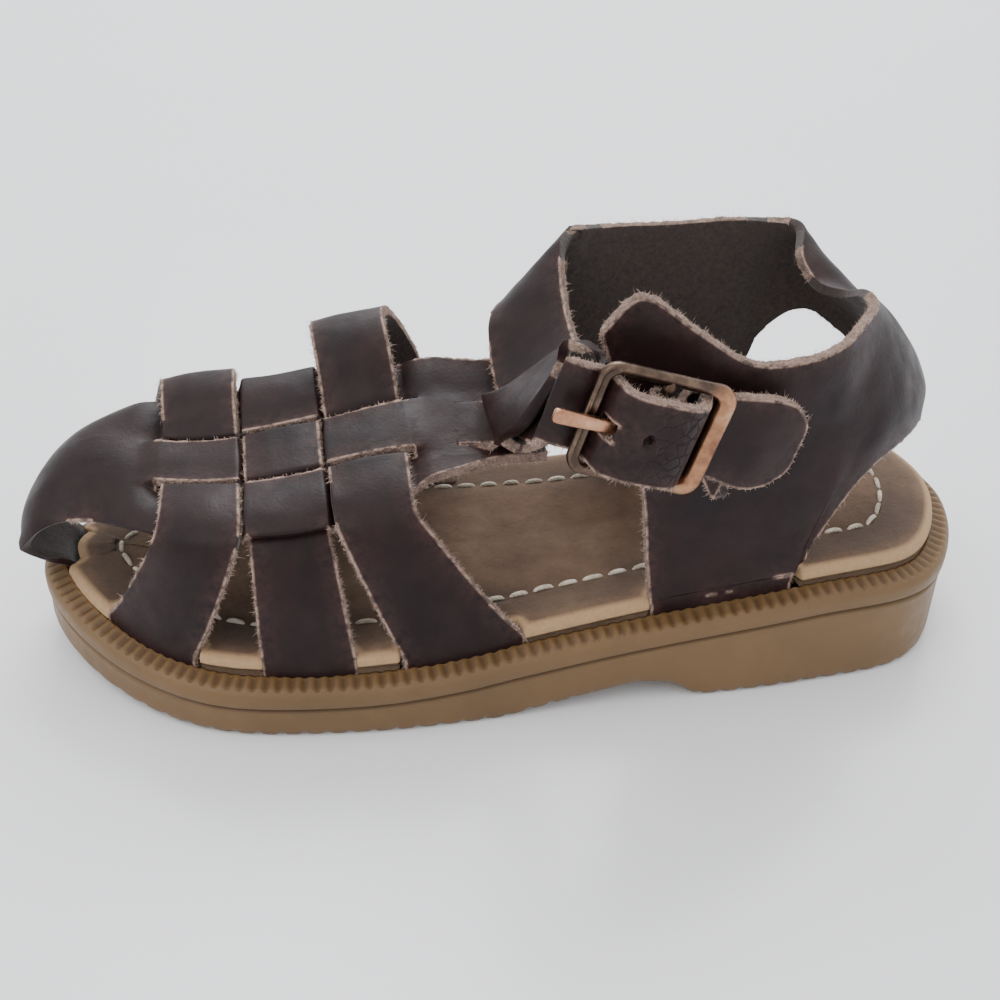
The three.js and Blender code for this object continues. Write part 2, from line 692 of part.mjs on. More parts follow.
// The ankle strap is cut in one with the medial quarter: round the front of the ankle,
// through the loop, then to the buckle on the lateral side.
function ankleStrapRails(buckle) {
  const half = ankleStrapWidth / 2;
  const onBuckle = (along, across, out) => buckle.at(along, across, out);
  const bar = frameLength / 2;
  const levels = buckleLevels();
  const route = [
    [-bar - 3, levels.strapAtFrame - 0.3, 0], [-bar, levels.strapAtFrame, 0],
    [-bar + frameBar + 0.1, levels.strapAtFrame, 0], [-6.3, 0.5, 0],
    [-5.6, levels.strapOverBar - 0.8, 0], [-4, levels.strapOverBar, 0],
    [-1, levels.strapOverBar + 0.1, 0], [2, levels.strapOverBar, 0],
    [4.2, levels.strapOverBar - 0.9, 0], [5.2, levels.strapOverBar - 3.2, 0],
    [bar - gripBar - 0.1, levels.strapAtGrip + 0.1, 0],
    [bar, levels.strapAtGrip, 0], [bar + 3.5, levels.strapAtGrip, 0.5],
    [bar + 7, levels.strapAtGrip, 1], [bar + 10, levels.strapAtGrip - 0.6, 0.4],
    [bar + 13, levels.strapAtGrip - 1.2, -2.4],
  ];
  const low = [
    graded(14, 20.1, 42), graded(7, 19, 42.9), graded(0.6, 15.8, 44.3), graded(-1.6, 11.6, 43.7),
    graded(-2.5, 4.6, 40), graded(-2.1, -3.8, 37.8), graded(-2, -12, 38.6), graded(-0.5, -19.4, 40.8),
    ...route.map(([along, out, widen]) => onBuckle(along, -half - widen, out)),
  ];
  const high = [
    graded(16.6, 20.1, 54.6), graded(12.4, 19, 55.2), graded(9.6, 15.4, 55), graded(8.7, 11, 52.5),
    graded(8.2, 4.6, 49.2), graded(8.1, -3.9, 47.4), graded(7.5, -11.8, 49.2), graded(5.1, -19.4, 52.8),
    ...route.map(([along, out, widen]) => onBuckle(along, half + widen, out)),
  ];
  return [curveThrough(low), curveThrough(high)];
}

function ankleStrap(rails) {
  const [low, high] = rails;
  const clamp = (value) => THREE.MathUtils.clamp(value, 0, 1);
  return leatherSheet({
    surface: (s, t) => low.getPoint(clamp(s)).lerp(high.getPoint(clamp(s)), t),
    sStops: stops(0, 1, 58),
    tStops: stops(0, 1, 3),
  });
}

// hole in the ankle strap, just behind the front bar, that the prong comes out through
function prongHole(buckle) {
  const front = -7.6;
  const back = -3.6;
  const bottom = 0.4;
  const top = 3.45;
  const hole = new THREE.BoxGeometry(back - front, prongWidth + 2 * clearance, top - bottom);
  hole.translate((front + back) / 2, 0, (bottom + top) / 2);
  return hole.applyMatrix4(buckle.matrix);
}

function quarter(buckle, rails) {
  const surface = quarterSurface();
  const sheet = leatherSheet({ surface, sStops: stops(0, 1, 68), tStops: stops(0, 1, 8) });
  const strap = cut(ankleStrap(rails), prongHole(buckle));
  return join(sheet, quarterTuck(-1), quarterTuck(1), strap);
}

// ---------------------------------------------------------------- buckle
const frameWidth = ankleStrapWidth + 2 * windowClearance + 2 * frameBar;

// heights out from the centre bar's axis
function buckleLevels() {
  const barRadius = centreBar / 2;
  const strapAtFrame = -frameBar / 2 - framePlay - leather / 2;
  const strapAtGrip = -gripBar / 2 - framePlay - leather / 2;
  const tabUpper = strapAtGrip - leather / 2 - clearance - tabLeather / 2;
  const tabLower = tabUpper - tabLeather - clearance;
  const quarterFace = tabLower - tabLeather / 2 - clearance;
  const tabRound = barRadius + clearance + tabLeather / 2;
  const strapOverBar = tabRound + tabLeather / 2 + 2.2 * clearance + leather / 2;
  return { strapAtFrame, strapAtGrip, tabUpper, tabLower, quarterFace, tabRound, strapOverBar };
}

// the buckle's own axes: along the strap to the rear, across it upwards, and outwards
function bucklePlace() {
  const levels = buckleLevels();
  const quarterOuter = -22 * widthGrade - leather / 2 - clearance / 2;
  const centre = graded(12, 0, 48.2);
  centre.y = quarterOuter + levels.quarterFace;
  const along = new THREE.Vector3(Math.cos(buckleTilt), 0, Math.sin(buckleTilt));
  const across = new THREE.Vector3(-Math.sin(buckleTilt), 0, Math.cos(buckleTilt));
  const out = new THREE.Vector3(0, -1, 0);
  return {
    at: (a, b, c) => centre.clone().addScaledVector(along, a).addScaledVector(across, b)
      .addScaledVector(out, c),
    matrix: new THREE.Matrix4().makeBasis(along, across, out).setPosition(centre),
  };
}

function roundedRectangle(path, width, height, radius) {
  const x = width / 2;
  const y = height / 2;
  path.moveTo(-x + radius, -y);
  path.lineTo(x - radius, -y);
  path.absarc(x - radius, -y + radius, radius, -Math.PI / 2, 0);
  path.lineTo(x, y - radius);
  path.absarc(x - radius, y - radius, radius, 0, Math.PI / 2);
  path.lineTo(-x + radius, y);
  path.absarc(-x + radius, y - radius, radius, Math.PI / 2, Math.PI);
  path.lineTo(-x, -y + radius);
  path.absarc(-x + radius, -y + radius, radius, Math.PI, Math.PI * 1.5);
  return path;
}

// rectangular frame with a heavier rear bar and a centre bar for the tab and the prong
function buckleFrame(buckle) {
  const bevel = 0.4;
  const shape = roundedRectangle(new THREE.Shape(), frameLength - 2 * bevel, frameWidth - 2 * bevel, 2);
  shape.holes.push(roundedRectangle(
    new THREE.Path(), frameLength - 2 * frameBar + 2 * bevel, frameWidth - 2 * frameBar + 2 * bevel, 1,
  ));
  const ring = new THREE.ExtrudeGeometry(shape, {
    depth: frameBar - 2 * bevel,
    bevelThickness: bevel,
    bevelSize: bevel,
    bevelSegments: 2,
    curveSegments: 4,
  });
  ring.translate(0, 0, -frameBar / 2 + bevel);
  const bar = new THREE.CylinderGeometry(centreBar / 2, centreBar / 2, frameWidth - frameBar, 16);
  const grip = new THREE.CapsuleGeometry(gripBar / 2, frameWidth - gripBar - 1, 4, 14);
  grip.translate(frameLength / 2 - gripBar / 2, 0, 0);
  return join(ring, bar, grip).applyMatrix4(buckle.matrix);
}

const barClearance = 0.1;
const prongThickness = 1.2;

// the prong's eye turns on the centre bar and its tip rests on the front bar
function buckleProng(buckle) {
  const inner = centreBar / 2 + barClearance;
  const outer = inner + prongThickness;
  const eye = new THREE.Shape();
  eye.absarc(0, 0, outer, 0, Math.PI * 2);
  eye.holes.push(new THREE.Path().absarc(0, 0, inner, 0, Math.PI * 2));
  const depth = { depth: prongWidth, bevelEnabled: false, curveSegments: 24 };
  const rest = frameBar / 2 + clearance;
  const reach = frameLength / 2 + 4.2;
  const shank = new THREE.Shape();
  shank.moveTo(-inner * 0.2, outer - 0.05);
  shank.lineTo(-5.4, outer - 0.05);
  shank.lineTo(-7.2, rest + prongThickness);
  shank.lineTo(-reach + 0.4, rest + prongThickness);
  shank.quadraticCurveTo(-reach, rest + prongThickness, -reach, rest + prongThickness - 0.4);
  shank.lineTo(-reach, rest);
  shank.lineTo(-7.2, rest);
  shank.lineTo(-5.4, outer - prongThickness + 0.05);
  shank.lineTo(-inner * 0.2, outer - prongThickness + 0.05);
  const eyeRing = new THREE.ExtrudeGeometry(eye, depth);
  const body = new THREE.ExtrudeGeometry(shank, { ...depth, curveSegments: 6 });
  const solid = join(eyeRing, body);
  solid.translate(0, 0, -prongWidth / 2);
  // drawn in the along-out plane, so it is turned up into the buckle's axes
  solid.applyMatrix4(new THREE.Matrix4().makeRotationX(Math.PI / 2));
  return solid.applyMatrix4(buckle.matrix);
}

// strip of leather folded round the centre bar, both ends sewn to the lateral quarter
function buckleTab(buckle) {
  const levels = buckleLevels();
  const width = 10;
  const path = curveThrough([
    [16.5, levels.tabLower], [6, levels.tabLower], [2.2, levels.tabLower + 1.6],
    [0.2, -levels.tabRound], [-levels.tabRound * 0.75, -levels.tabRound * 0.68], [-levels.tabRound, 0],
    [-levels.tabRound * 0.7, levels.tabRound * 0.7], [0.1, levels.tabRound],
    [1.5, levels.tabRound * 0.5], [3.1, -1.8], [4.8, levels.tabUpper + 0.4], [6.8, levels.tabUpper],
    [14.5, levels.tabUpper],
  ].map(([along, out]) => new THREE.Vector3(along, 0, out)));
  const clamp = (value) => THREE.MathUtils.clamp(value, 0, 1);
  const strip = leatherSheet({
    surface: (s, t) => path.getPoint(clamp(s)).setY((t - 0.5) * width),
    sStops: stops(0, 1, 44),
    tStops: stops(0, 1, 2),
    thickness: tabLeather,
  });
  const slot = new THREE.BoxGeometry(7, prongWidth + 2 * clearance, 8);
  slot.translate(-0.4, 0, 0);
  return cut(strip, slot).applyMatrix4(buckle.matrix);
}

// ---------------------------------------------------------------- materials
function finish(color, roughness, metalness = 0) {
  return new THREE.MeshStandardMaterial({ color, roughness, metalness, side: THREE.DoubleSide });
}

const gumRubber = finish(0x80643e, 0.6);
const brownLeather = finish(0x3c3032, 0.5);
const suede = finish(0x7d5c40, 0.95);
const fibreBoard = finish(0x9c8160, 0.9);
const foam = finish(0xb9a184, 0.9);
const thread = finish(0xd9ccb4, 0.8);
const antiqueBrass = finish(0x9a6a48, 0.35, 0.9);

// ---------------------------------------------------------------- assembly
const sandal = new THREE.Group();

function part(name, geometry, material) {
  const mesh = new THREE.Mesh(geometry, material);
  mesh.name = name;
  sandal.add(mesh);
}

const buckle = bucklePlace();
const strapRails = ankleStrapRails(buckle);
part('outsole', outsole(), gumRubber);
part('sole_filler', soleFiller(), foam);
part('insole_board', insoleBoard(), fibreBoard);
part('footbed_foam', footbedFoam(), foam);
part('footbed_cover', footbedCover(), suede);
part('footbed_thread', footbedThread(), thread);
crossStraps.forEach((strap, k) => part(strap.name, crossStrap(k, strap), brownLeather));
part('vamp', vamp(strapRails), brownLeather);
part('quarter_and_ankle_strap', quarter(buckle, strapRails), brownLeather);
part('buckle_tab', buckleTab(buckle), brownLeather);
part('buckle_frame', buckleFrame(buckle), antiqueBrass);
part('buckle_prong', buckleProng(buckle), antiqueBrass);

// origin in the middle of the footprint, on the ground
const bounds = new THREE.Box3().setFromObject(sandal);
const middle = bounds.getCenter(new THREE.Vector3());
sandal.position.set(-middle.x, -middle.y, -bounds.min.z);

export default sandal;
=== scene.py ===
# %% [markdown]
# # A toddler's woven leather sandal
# The sandal is a left fisherman sandal: a slit leather vamp woven through three cross
# straps, a one-piece heel quarter with an ankle strap, a small buckle, and a moulded gum
# rubber sole. A rigid model of it is loaded first and fixes every size. What follows gives
# each piece its real surface: cut leather, suede, thread, rubber and metal.

# %% Load the rigid model
import json
import math
import random

import bmesh
import bpy
import numpy as np
from mathutils import Matrix, Vector, noise
from mathutils.bvhtree import BVHTree
from mathutils.kdtree import KDTree


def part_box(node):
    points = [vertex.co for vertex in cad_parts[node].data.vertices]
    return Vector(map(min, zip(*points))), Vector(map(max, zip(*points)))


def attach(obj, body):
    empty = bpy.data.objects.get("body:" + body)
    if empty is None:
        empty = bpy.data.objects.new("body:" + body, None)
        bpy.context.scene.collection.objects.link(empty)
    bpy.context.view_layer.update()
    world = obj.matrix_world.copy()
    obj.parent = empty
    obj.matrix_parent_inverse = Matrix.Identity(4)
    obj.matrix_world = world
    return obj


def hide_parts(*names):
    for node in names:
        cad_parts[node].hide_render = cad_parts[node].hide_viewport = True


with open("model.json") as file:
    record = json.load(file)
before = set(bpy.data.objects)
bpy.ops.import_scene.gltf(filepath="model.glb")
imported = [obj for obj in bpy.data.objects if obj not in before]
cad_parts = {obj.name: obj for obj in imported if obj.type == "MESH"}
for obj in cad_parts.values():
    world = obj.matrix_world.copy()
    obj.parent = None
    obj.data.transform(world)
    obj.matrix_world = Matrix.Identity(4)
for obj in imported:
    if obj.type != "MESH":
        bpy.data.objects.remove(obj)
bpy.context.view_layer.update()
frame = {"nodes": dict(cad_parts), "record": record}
MM = 0.001
print("pieces in the rigid model:", sorted(frame["nodes"]))

# %% [markdown]
# ## Camera, floor and light
# The sandal stands on a pale, slightly glossy table under a bright overcast sky. A sky
# like that is one very large soft lamp, so the world is plain white and two big area
# lamps only add the soft sheen on top of the leather. A small sharp lamp would give hard
# shadows that such a sky never makes.

# %% Camera
sole_low, sole_high = (Vector(corner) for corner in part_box("outsole"))
sole_middle = (sole_low + sole_high) / 2
yaw, pitch, roll = 0.1777, 0.5863, 0.0335
forward = Vector((math.sin(yaw) * math.cos(pitch), math.cos(yaw) * math.cos(pitch), -math.sin(pitch)))
level_right = Vector((math.cos(yaw), -math.sin(yaw), 0))
level_up = level_right.cross(forward)
right = level_right * math.cos(roll) + level_up * math.sin(roll)
up = level_up * math.cos(roll) - level_right * math.sin(roll)
eye = Vector((sole_middle.x, sole_middle.y, 0)) + Vector((-31.73, -169.02, 133.24)) * MM
camera_data = bpy.data.cameras.new("camera")
camera_data.lens = 48.75
camera_data.sensor_width = 36
camera_data.clip_start = 0.005
camera = bpy.data.objects.new("camera", camera_data)
camera.matrix_world = Matrix((
    (right.x, up.x, -forward.x, eye.x),
    (right.y, up.y, -forward.y, eye.y),
    (right.z, up.z, -forward.z, eye.z),
    (0, 0, 0, 1),
))
bpy.context.scene.collection.objects.link(camera)
bpy.context.scene.camera = camera
print("camera is", round((eye - sole_middle).length / MM), "mm from the middle of the sole")


# %% Helpers for materials
def new_material(name, color, roughness, metallic=0.0):
    material = bpy.data.materials.new(name)
    material.use_nodes = True
    shader = material.node_tree.nodes["Principled BSDF"]
    shader.inputs["Base Color"].default_value = (*color, 1)
    shader.inputs["Roughness"].default_value = roughness
    shader.inputs["Metallic"].default_value = metallic
    return material, material.node_tree, shader


def node(tree, kind, links=None, **values):
    """adds a shader node; values set its options or sockets, links feed its sockets"""
    made = tree.nodes.new(kind)
    for key, value in values.items():
        if hasattr(made, key):
            setattr(made, key, value)
        else:
            made.inputs[key.replace("_", " ")].default_value = value
    for socket, source in (links or {}).items():
        tree.links.new(source, made.inputs[socket])
    return made


def ramp(tree, source, *marks):
    """colour ramp through (position, colour) marks"""
    made = tree.nodes.new("ShaderNodeValToRGB")
    tree.links.new(source, made.inputs["Fac"])
    elements = made.color_ramp.elements
    while len(elements) < len(marks):
        elements.new(0.5)
    for element, (position, color) in zip(elements, marks):
        element.position = position
        element.color = (*color, 1) if len(color) == 3 else color
    return made.outputs["Color"]


def grey_ramp(tree, source, *marks):
    return ramp(tree, source, *((position, (value, value, value)) for position, value in marks))


def mix(tree, factor, first, second, mode="MIX"):
    made = tree.nodes.new("ShaderNodeMix")
    made.data_type = "RGBA"
    made.blend_type = mode
    for socket, value in ((made.inputs[0], factor), (made.inputs[6], first), (made.inputs[7], second)):
        if isinstance(value, (int, float)):
            socket.default_value = value
        elif isinstance(value, tuple):
            socket.default_value = (*value, 1)
        else:
            tree.links.new(value, socket)
    return made.outputs[2]


def math_node(tree, operation, first, second=0.0):
    made = tree.nodes.new("ShaderNodeMath")
    made.operation = operation
    for socket, value in zip(made.inputs, (first, second)):
        if isinstance(value, (int, float)):
            socket.default_value = value
        else:
            tree.links.new(value, socket)
    return made.outputs[0]


def object_space(tree):
    return tree.nodes.new("ShaderNodeTexCoord").outputs["Object"]


def attribute(tree, name):
    return node(tree, "ShaderNodeAttribute", attribute_name=name).outputs["Fac"]


def noise_at(tree, scale, detail=4.0, rough=0.55, where=None):
    where = where or object_space(tree)
    return node(tree, "ShaderNodeTexNoise", {"Vector": where}, Scale=scale, Detail=detail,
                Roughness=rough).outputs["Fac"]


def bump(tree, shader, *layers):
    """stacks bump layers of (height, strength, depth in mm)"""
    previous = None
    for height, strength, depth in layers:
        links = {"Height": height}
        if previous is not None:
            links["Normal"] = previous
        made = node(tree, "ShaderNodeBump", links, Strength=strength, Distance=depth * MM)
        previous = made.outputs["Normal"]
    tree.links.new(previous, shader.inputs["Normal"])


# %% Floor and light
def table_top():
    material, tree, shader = new_material("pale table", (0.88, 0.89, 0.91), 0.25)
    shader.inputs["Specular IOR Level"].default_value = 0.35
    cloudy = noise_at(tree, 3.0, 2.0)
    tree.links.new(ramp(tree, cloudy, (0.3, (0.86, 0.87, 0.89)), (0.7, (0.90, 0.91, 0.93))),
                   shader.inputs["Base Color"])
    mesh = bpy.data.meshes.new("table")
    size = 3.0
    corners = [(-size, -size, 0), (size, -size, 0), (size, size, 0), (-size, size, 0)]
    mesh.from_pydata(corners, [], [(0, 1, 2, 3)])
    mesh.materials.append(material)
    table = bpy.data.objects.new("table", mesh)
    table.location.z = -0.0001
    bpy.context.scene.collection.objects.link(table)


def lamp(name, place, aim, size, power, color=(1, 1, 1)):
    data = bpy.data.lights.new(name, "AREA")
    data.size = size
    data.energy = power
    data.color = color
    made = bpy.data.objects.new(name, data)
    made.location = place
    made.rotation_euler = (Vector(aim) - Vector(place)).to_track_quat("-Z", "Y").to_euler()
    bpy.context.scene.collection.objects.link(made)


table_top()
world = bpy.data.worlds.new("overcast sky")
world.use_nodes = True
world.node_tree.nodes["Background"].inputs["Color"].default_value = (0.98, 0.985, 1.0, 1)
world.node_tree.nodes["Background"].inputs["Strength"].default_value = 1.32
bpy.context.scene.world = world
lamp("sky behind", (0.15, 0.75, 0.75), (0, 0, 0.02), 0.7, 9.0, (0.95, 0.97, 1.0))
lamp("sky left", (-0.6, -0.25, 0.9), (0, 0, 0.02), 0.8, 4.0, (1.0, 0.98, 0.95))

# %% [markdown]
# ## Leather
# The uppers are chrome-tanned leather 1.5 mm thick: a smooth dark grain face, a brown
# fuzzy flesh face, and cut edges where the paler fibres show. Real edges aren't sharp:
# the knife leaves them square, and wear rounds them and pulls fibres out. One material on
# a whole strap can't show that, so every face is first sorted into grain, flesh or edge,
# and each sort gets a material of its own.


# %% Leather materials
def grain_material():
    dark, warm, worn = (0.0090, 0.0036, 0.0040), (0.0200, 0.0075, 0.0078), (0.055, 0.027, 0.022)
    bare = (0.36, 0.245, 0.195)
    material, tree, shader = new_material("aubergine grain leather", warm, 0.42)
    where = object_space(tree)
    clouds = noise_at(tree, 120, 5, 0.6, where)
    color = ramp(tree, clouds, (0.35, dark), (0.68, warm))
    rub = noise_at(tree, 700, 6, 0.7, where)
    edge = grey_ramp(tree, attribute(tree, "edge_distance"), (0.0, 1.0), (0.10, 0.45), (0.32, 0.0))
    rubbed = math_node(tree, "MULTIPLY", edge, grey_ramp(tree, rub, (0.38, 0.0), (0.62, 1.0)))
    color = mix(tree, rubbed, color, worn)
    lip = grey_ramp(tree, attribute(tree, "edge_distance"), (0.0, 1.0), (0.018, 0.9), (0.045, 0.0))
    scuffed = math_node(tree, "MULTIPLY", lip, grey_ramp(tree, rub, (0.42, 0.25), (0.56, 1.0)))
    color = mix(tree, scuffed, color, bare)
    tree.links.new(color, shader.inputs["Base Color"])
    tree.links.new(grey_ramp(tree, noise_at(tree, 260, 6, 0.65, where), (0.3, 0.36), (0.7, 0.54)),
                   shader.inputs["Roughness"])
    pores = node(tree, "ShaderNodeTexVoronoi", {"Vector": where}, Scale=2100.0,
                 feature="F1").outputs["Distance"]
    creases = node(tree, "ShaderNodeTexVoronoi", {"Vector": where}, Scale=620.0,
                   feature="DISTANCE_TO_EDGE").outputs["Distance"]
    creased = math_node(tree, "MULTIPLY", grey_ramp(tree, creases, (0.0, 0.0), (0.12, 1.0)),
                        attribute(tree, "wrinkle"))
    soft = noise_at(tree, 420, 4, 0.5, where)
    bump(tree, shader, (soft, 0.22, 0.18), (pores, 0.16, 0.08), (creased, 0.9, 0.3))
    shader.inputs["Specular IOR Level"].default_value = 0.21
    return material


def flesh_material():
    material, tree, shader = new_material("brown flesh side", (0.05, 0.032, 0.024), 0.95)
    where = object_space(tree)
    nap = noise_at(tree, 1500, 6, 0.75, where)
    tree.links.new(ramp(tree, nap, (0.3, (0.014, 0.009, 0.008)), (0.7, (0.055, 0.036, 0.029))),
                   shader.inputs["Base Color"])
    bump(tree, shader, (noise_at(tree, 500, 4, 0.6, where), 0.3, 0.3), (nap, 0.8, 0.25))
    shader.inputs["Sheen Weight"].default_value = 0.25
    shader.inputs["Sheen Roughness"].default_value = 0.5
    return material


def cut_edge_material():
    material, tree, shader = new_material("raw cut edge", (0.16, 0.10, 0.07), 0.95)
    where = object_space(tree)
    fibre = noise_at(tree, 1900, 8, 0.8, where)
    blotch = noise_at(tree, 320, 3, 0.5, where)
    pale = ramp(tree, fibre, (0.30, (0.13, 0.085, 0.070)), (0.50, (0.33, 0.225, 0.180)),
                (0.72, (0.56, 0.42, 0.34)))
    color = mix(tree, grey_ramp(tree, blotch, (0.48, 0.0), (0.70, 0.6)), pale, (0.085, 0.055, 0.046))
    tree.links.new(color, shader.inputs["Base Color"])
    bump(tree, shader, (fibre, 1.0, 0.5))
    return material


def fibre_material():
    material, tree, shader = new_material("loose leather fibre", (0.26, 0.17, 0.12), 0.9)
    where = object_space(tree)
    tree.links.new(ramp(tree, noise_at(tree, 600, 2, 0.5, where), (0.3, (0.30, 0.20, 0.16)),
                        (0.7, (0.66, 0.52, 0.43))), shader.inputs["Base Color"])
    return material


grain_leather = grain_material()
flesh_side = flesh_material()
raw_edge = cut_edge_material()
leather_fibre = fibre_material()
GRAIN, FLESH, EDGE = 0, 1, 2
print("leather materials:", grain_leather.name, flesh_side.name, raw_edge.name)

# %% [markdown]
# ## From a rigid sheet to a leather one
# The rigid model already has each strap's shape, but as flat facets with knife-sharp
# rims. Sculpting every strap by hand would lose those sizes. Here the facets are joined
# into quads, the rims are creased a little, and a subdivision surface rounds the rest, so
# the sheet stays where it was and gains a soft edge.


# %% Sort the faces of a sheet
def quads_of(name):
    made = bmesh.new()
    made.from_mesh(frame["nodes"][name].data)
    bmesh.ops.remove_doubles(made, verts=made.verts[:], dist=2e-6)
    bmesh.ops.join_triangles(
        made, faces=made.faces[:], cmp_seam=False, cmp_sharp=False, cmp_uvs=False, cmp_vcols=False,
        cmp_materials=False, angle_face_threshold=math.radians(30), angle_shape_threshold=math.radians(70))
    made.faces.ensure_lookup_table()
    return made


def is_rim(face, tree, thickest):
    """a face is on the cut rim when the leather behind it is much deeper than the sheet"""
    inward = -face.normal
    hit = tree.ray_cast(face.calc_center_median() + inward * 2e-5, inward, 0.05)
    return hit[0] is None or hit[3] > thickest


def patches(faces):
    """groups of faces that join without a sharp fold"""
    left = set(faces)
    while left:
        stack = [left.pop()]
        patch = []
        while stack:
            face = stack.pop()
            patch.append(face)
            for edge in face.edges:
                if len(edge.link_faces) != 2 or edge.calc_face_angle() > math.radians(58):
                    continue
                for other in edge.link_faces:
                    if other in left:
                        left.remove(other)
                        stack.append(other)
        yield patch


SLIVER = 0.6  # mm2


def sort_faces(made, outward, thickest):
    tree = BVHTree.FromBMesh(made)
    sheet = []
    for face in made.faces:
        face.material_index = EDGE
        if not is_rim(face, tree, thickest):
            sheet.append(face)
    for patch in patches(sheet):
        area = sum(face.calc_area() for face in patch)
        vote = sum(face.normal.dot(outward(face.calc_center_median())) * face.calc_area() for face in patch)
        if abs(vote) < 0.35 * area:
            middle = sum((face.calc_center_median() for face in patch), Vector()) / len(patch)
            vote = sum(face.normal.dot((face.calc_center_median() - middle).normalized()) * face.calc_area()
                       for face in patch)
        for face in patch:
            face.material_index = GRAIN if vote > 0 else FLESH
    # tiny faces left where two sheets join look like chips, so they take the grain beside them
    for face in made.faces:
        sides = [other.material_index for edge in face.edges
                 for other in edge.link_faces if other is not face]
        if face.calc_area() < SLIVER * MM * MM and sides.count(GRAIN) >= 2:
            face.material_index = GRAIN
    rims = made.edges.layers.float.new("crease_edge")
    for edge in made.edges:
        if len(edge.link_faces) == 2 and edge.calc_face_angle() > math.radians(50):
            edge[rims] = 0.72


# %% Subdivide a sheet and measure it
def subdivided(made, name, levels):
    coarse = bpy.data.meshes.new(name + "_coarse")
    made.to_mesh(coarse)
    made.free()
    holder = bpy.data.objects.new(name + "_coarse", coarse)
    bpy.context.scene.collection.objects.link(holder)
    modifier = holder.modifiers.new("rounding", "SUBSURF")
    modifier.levels = levels
    graph = bpy.context.evaluated_depsgraph_get()
    fine = bpy.data.meshes.new_from_object(holder.evaluated_get(graph))
    bpy.data.objects.remove(holder)
    fine.name = name
    fine.shade_smooth()
    return fine


def corners_of(mesh):
    flat = np.empty(len(mesh.vertices) * 3)
    mesh.vertices.foreach_get("co", flat)
    return flat.reshape(-1, 3)


def normals_of(mesh):
    flat = np.empty(len(mesh.vertices) * 3)
    mesh.vertices.foreach_get("normal", flat)
    return flat.reshape(-1, 3)


def move_corners(mesh, places):
    mesh.vertices.foreach_set("co", places.ravel())
    mesh.update()


def store(mesh, name, values):
    made = mesh.attributes.new(name, "FLOAT", "POINT")
    made.data.foreach_set("value", np.asarray(values, dtype=np.float32))


def on_sort(mesh, sort):
    """which vertices touch a face of the given sort"""
    marks = np.zeros(len(mesh.vertices), dtype=bool)
    for polygon in mesh.polygons:
        if polygon.material_index == sort:
            marks[list(polygon.vertices)] = True
    return marks


def tree_of(points):
    tree = KDTree(len(points))
    for i, point in enumerate(points):
        tree.insert(point, i)
    tree.balance()
    return tree


def drift(points, scale, seed):
    shift = Vector((seed * 3.7, seed * 1.3, seed * 2.1))
    return np.array([noise.noise(Vector(point) * scale + shift) for point in points])


def smoothstep(values, low, high):
    share = np.clip((values - low) / (high - low), 0, 1)
    return share * share * (3 - 2 * share)


# %% Give a sheet its swell, waves and rough rim
def leather_piece(name, outward, seed, swell=0.22, wave=0.16, thickest=3.6, levels=3, bend=None,
                  wrinkle=None, calm=None, fray=1.0):
    made = quads_of(name)
    sort_faces(made, outward, thickest * MM)
    mesh = subdivided(made, name + "_leather", levels)
    places, normals = corners_of(mesh), normals_of(mesh)
    rim = on_sort(mesh, EDGE)
    grain = on_sort(mesh, GRAIN) & ~rim
    rim_tree = tree_of(places[rim])
    grain_places, grain_normals = places[grain], normals[grain]
    grain_tree = tree_of(grain_places)
    from_rim = np.array([rim_tree.find(p)[2] for p in places]) / MM
    lift = grain_normals[[grain_tree.find(p)[1] for p in places]]
    rise = swell * (smoothstep(from_rim, 0, 4.5) - 0.4)
    rise += wave * (drift(places, 95, seed) + 0.45 * drift(places, 260, seed + 1))
    if calm:
        rise *= calm(places)
        fray = fray * calm(places)
    rough = np.where(rim, 0.17 * drift(places, 900, seed + 2) + 0.12 * drift(places, 2300, seed + 3), 0)
    moved = places + lift * (rise * MM)[:, None] + normals * (rough * fray * MM)[:, None]
    if bend:
        moved = bend(moved)
    move_corners(mesh, moved)
    store(mesh, "edge_distance", np.clip(from_rim / 10, 0, 1))
    store(mesh, "wrinkle", wrinkle(moved) if wrinkle else np.full(len(moved), 0.02))
    for material in (grain_leather, flesh_side, raw_edge):
        mesh.materials.append(material)
    piece = bpy.data.objects.new(name + "_leather", mesh)
    bpy.context.scene.collection.objects.link(piece)
    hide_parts(name)
    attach(piece, "shoe")
    counts = [sum(p.material_index == sort for p in mesh.polygons) for sort in (GRAIN, FLESH, EDGE)]
    print(f"{name}: {len(mesh.polygons)} faces, grain/flesh/edge {counts}")
    return piece


# %% Where outside is
ankle_low, ankle_high = (Vector(corner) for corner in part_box("quarter_and_ankle_strap"))
ankle = Vector((ankle_low.x * 0.55 + ankle_high.x * 0.45, (ankle_low.y + ankle_high.y) / 2 + 3 * MM, 0))


def outward_from_foot(point):
    core = Vector((max(point.x, sole_low.x + 14 * MM), sole_middle.y, 12 * MM))
    return (point - core).normalized()


def outward_from_ankle(point):
    return Vector((point.x - ankle.x, point.y - ankle.y, 0)).normalized()


# %% [markdown]
# ## The buckle's own axes
# The buckle sits slanted on the outside of the ankle. Its two hinges share one axis, the
# centre bar, so that axis and its place give a small frame of reference: along the strap,
# across it, and outwards. Sizes are then plain numbers in that frame.

# %% Buckle axes
hinge = next(j for j in frame["record"]["behaviour"]["joints"] if j["child"] == "prong")
bar_place = Vector(hinge["pos_m"])
across = Vector(hinge["axis"]).normalized()
outwards = Vector((0, -1, 0))
along = across.cross(outwards).normalized()
to_buckle = Matrix((along, across, outwards))
from_buckle = to_buckle.transposed()


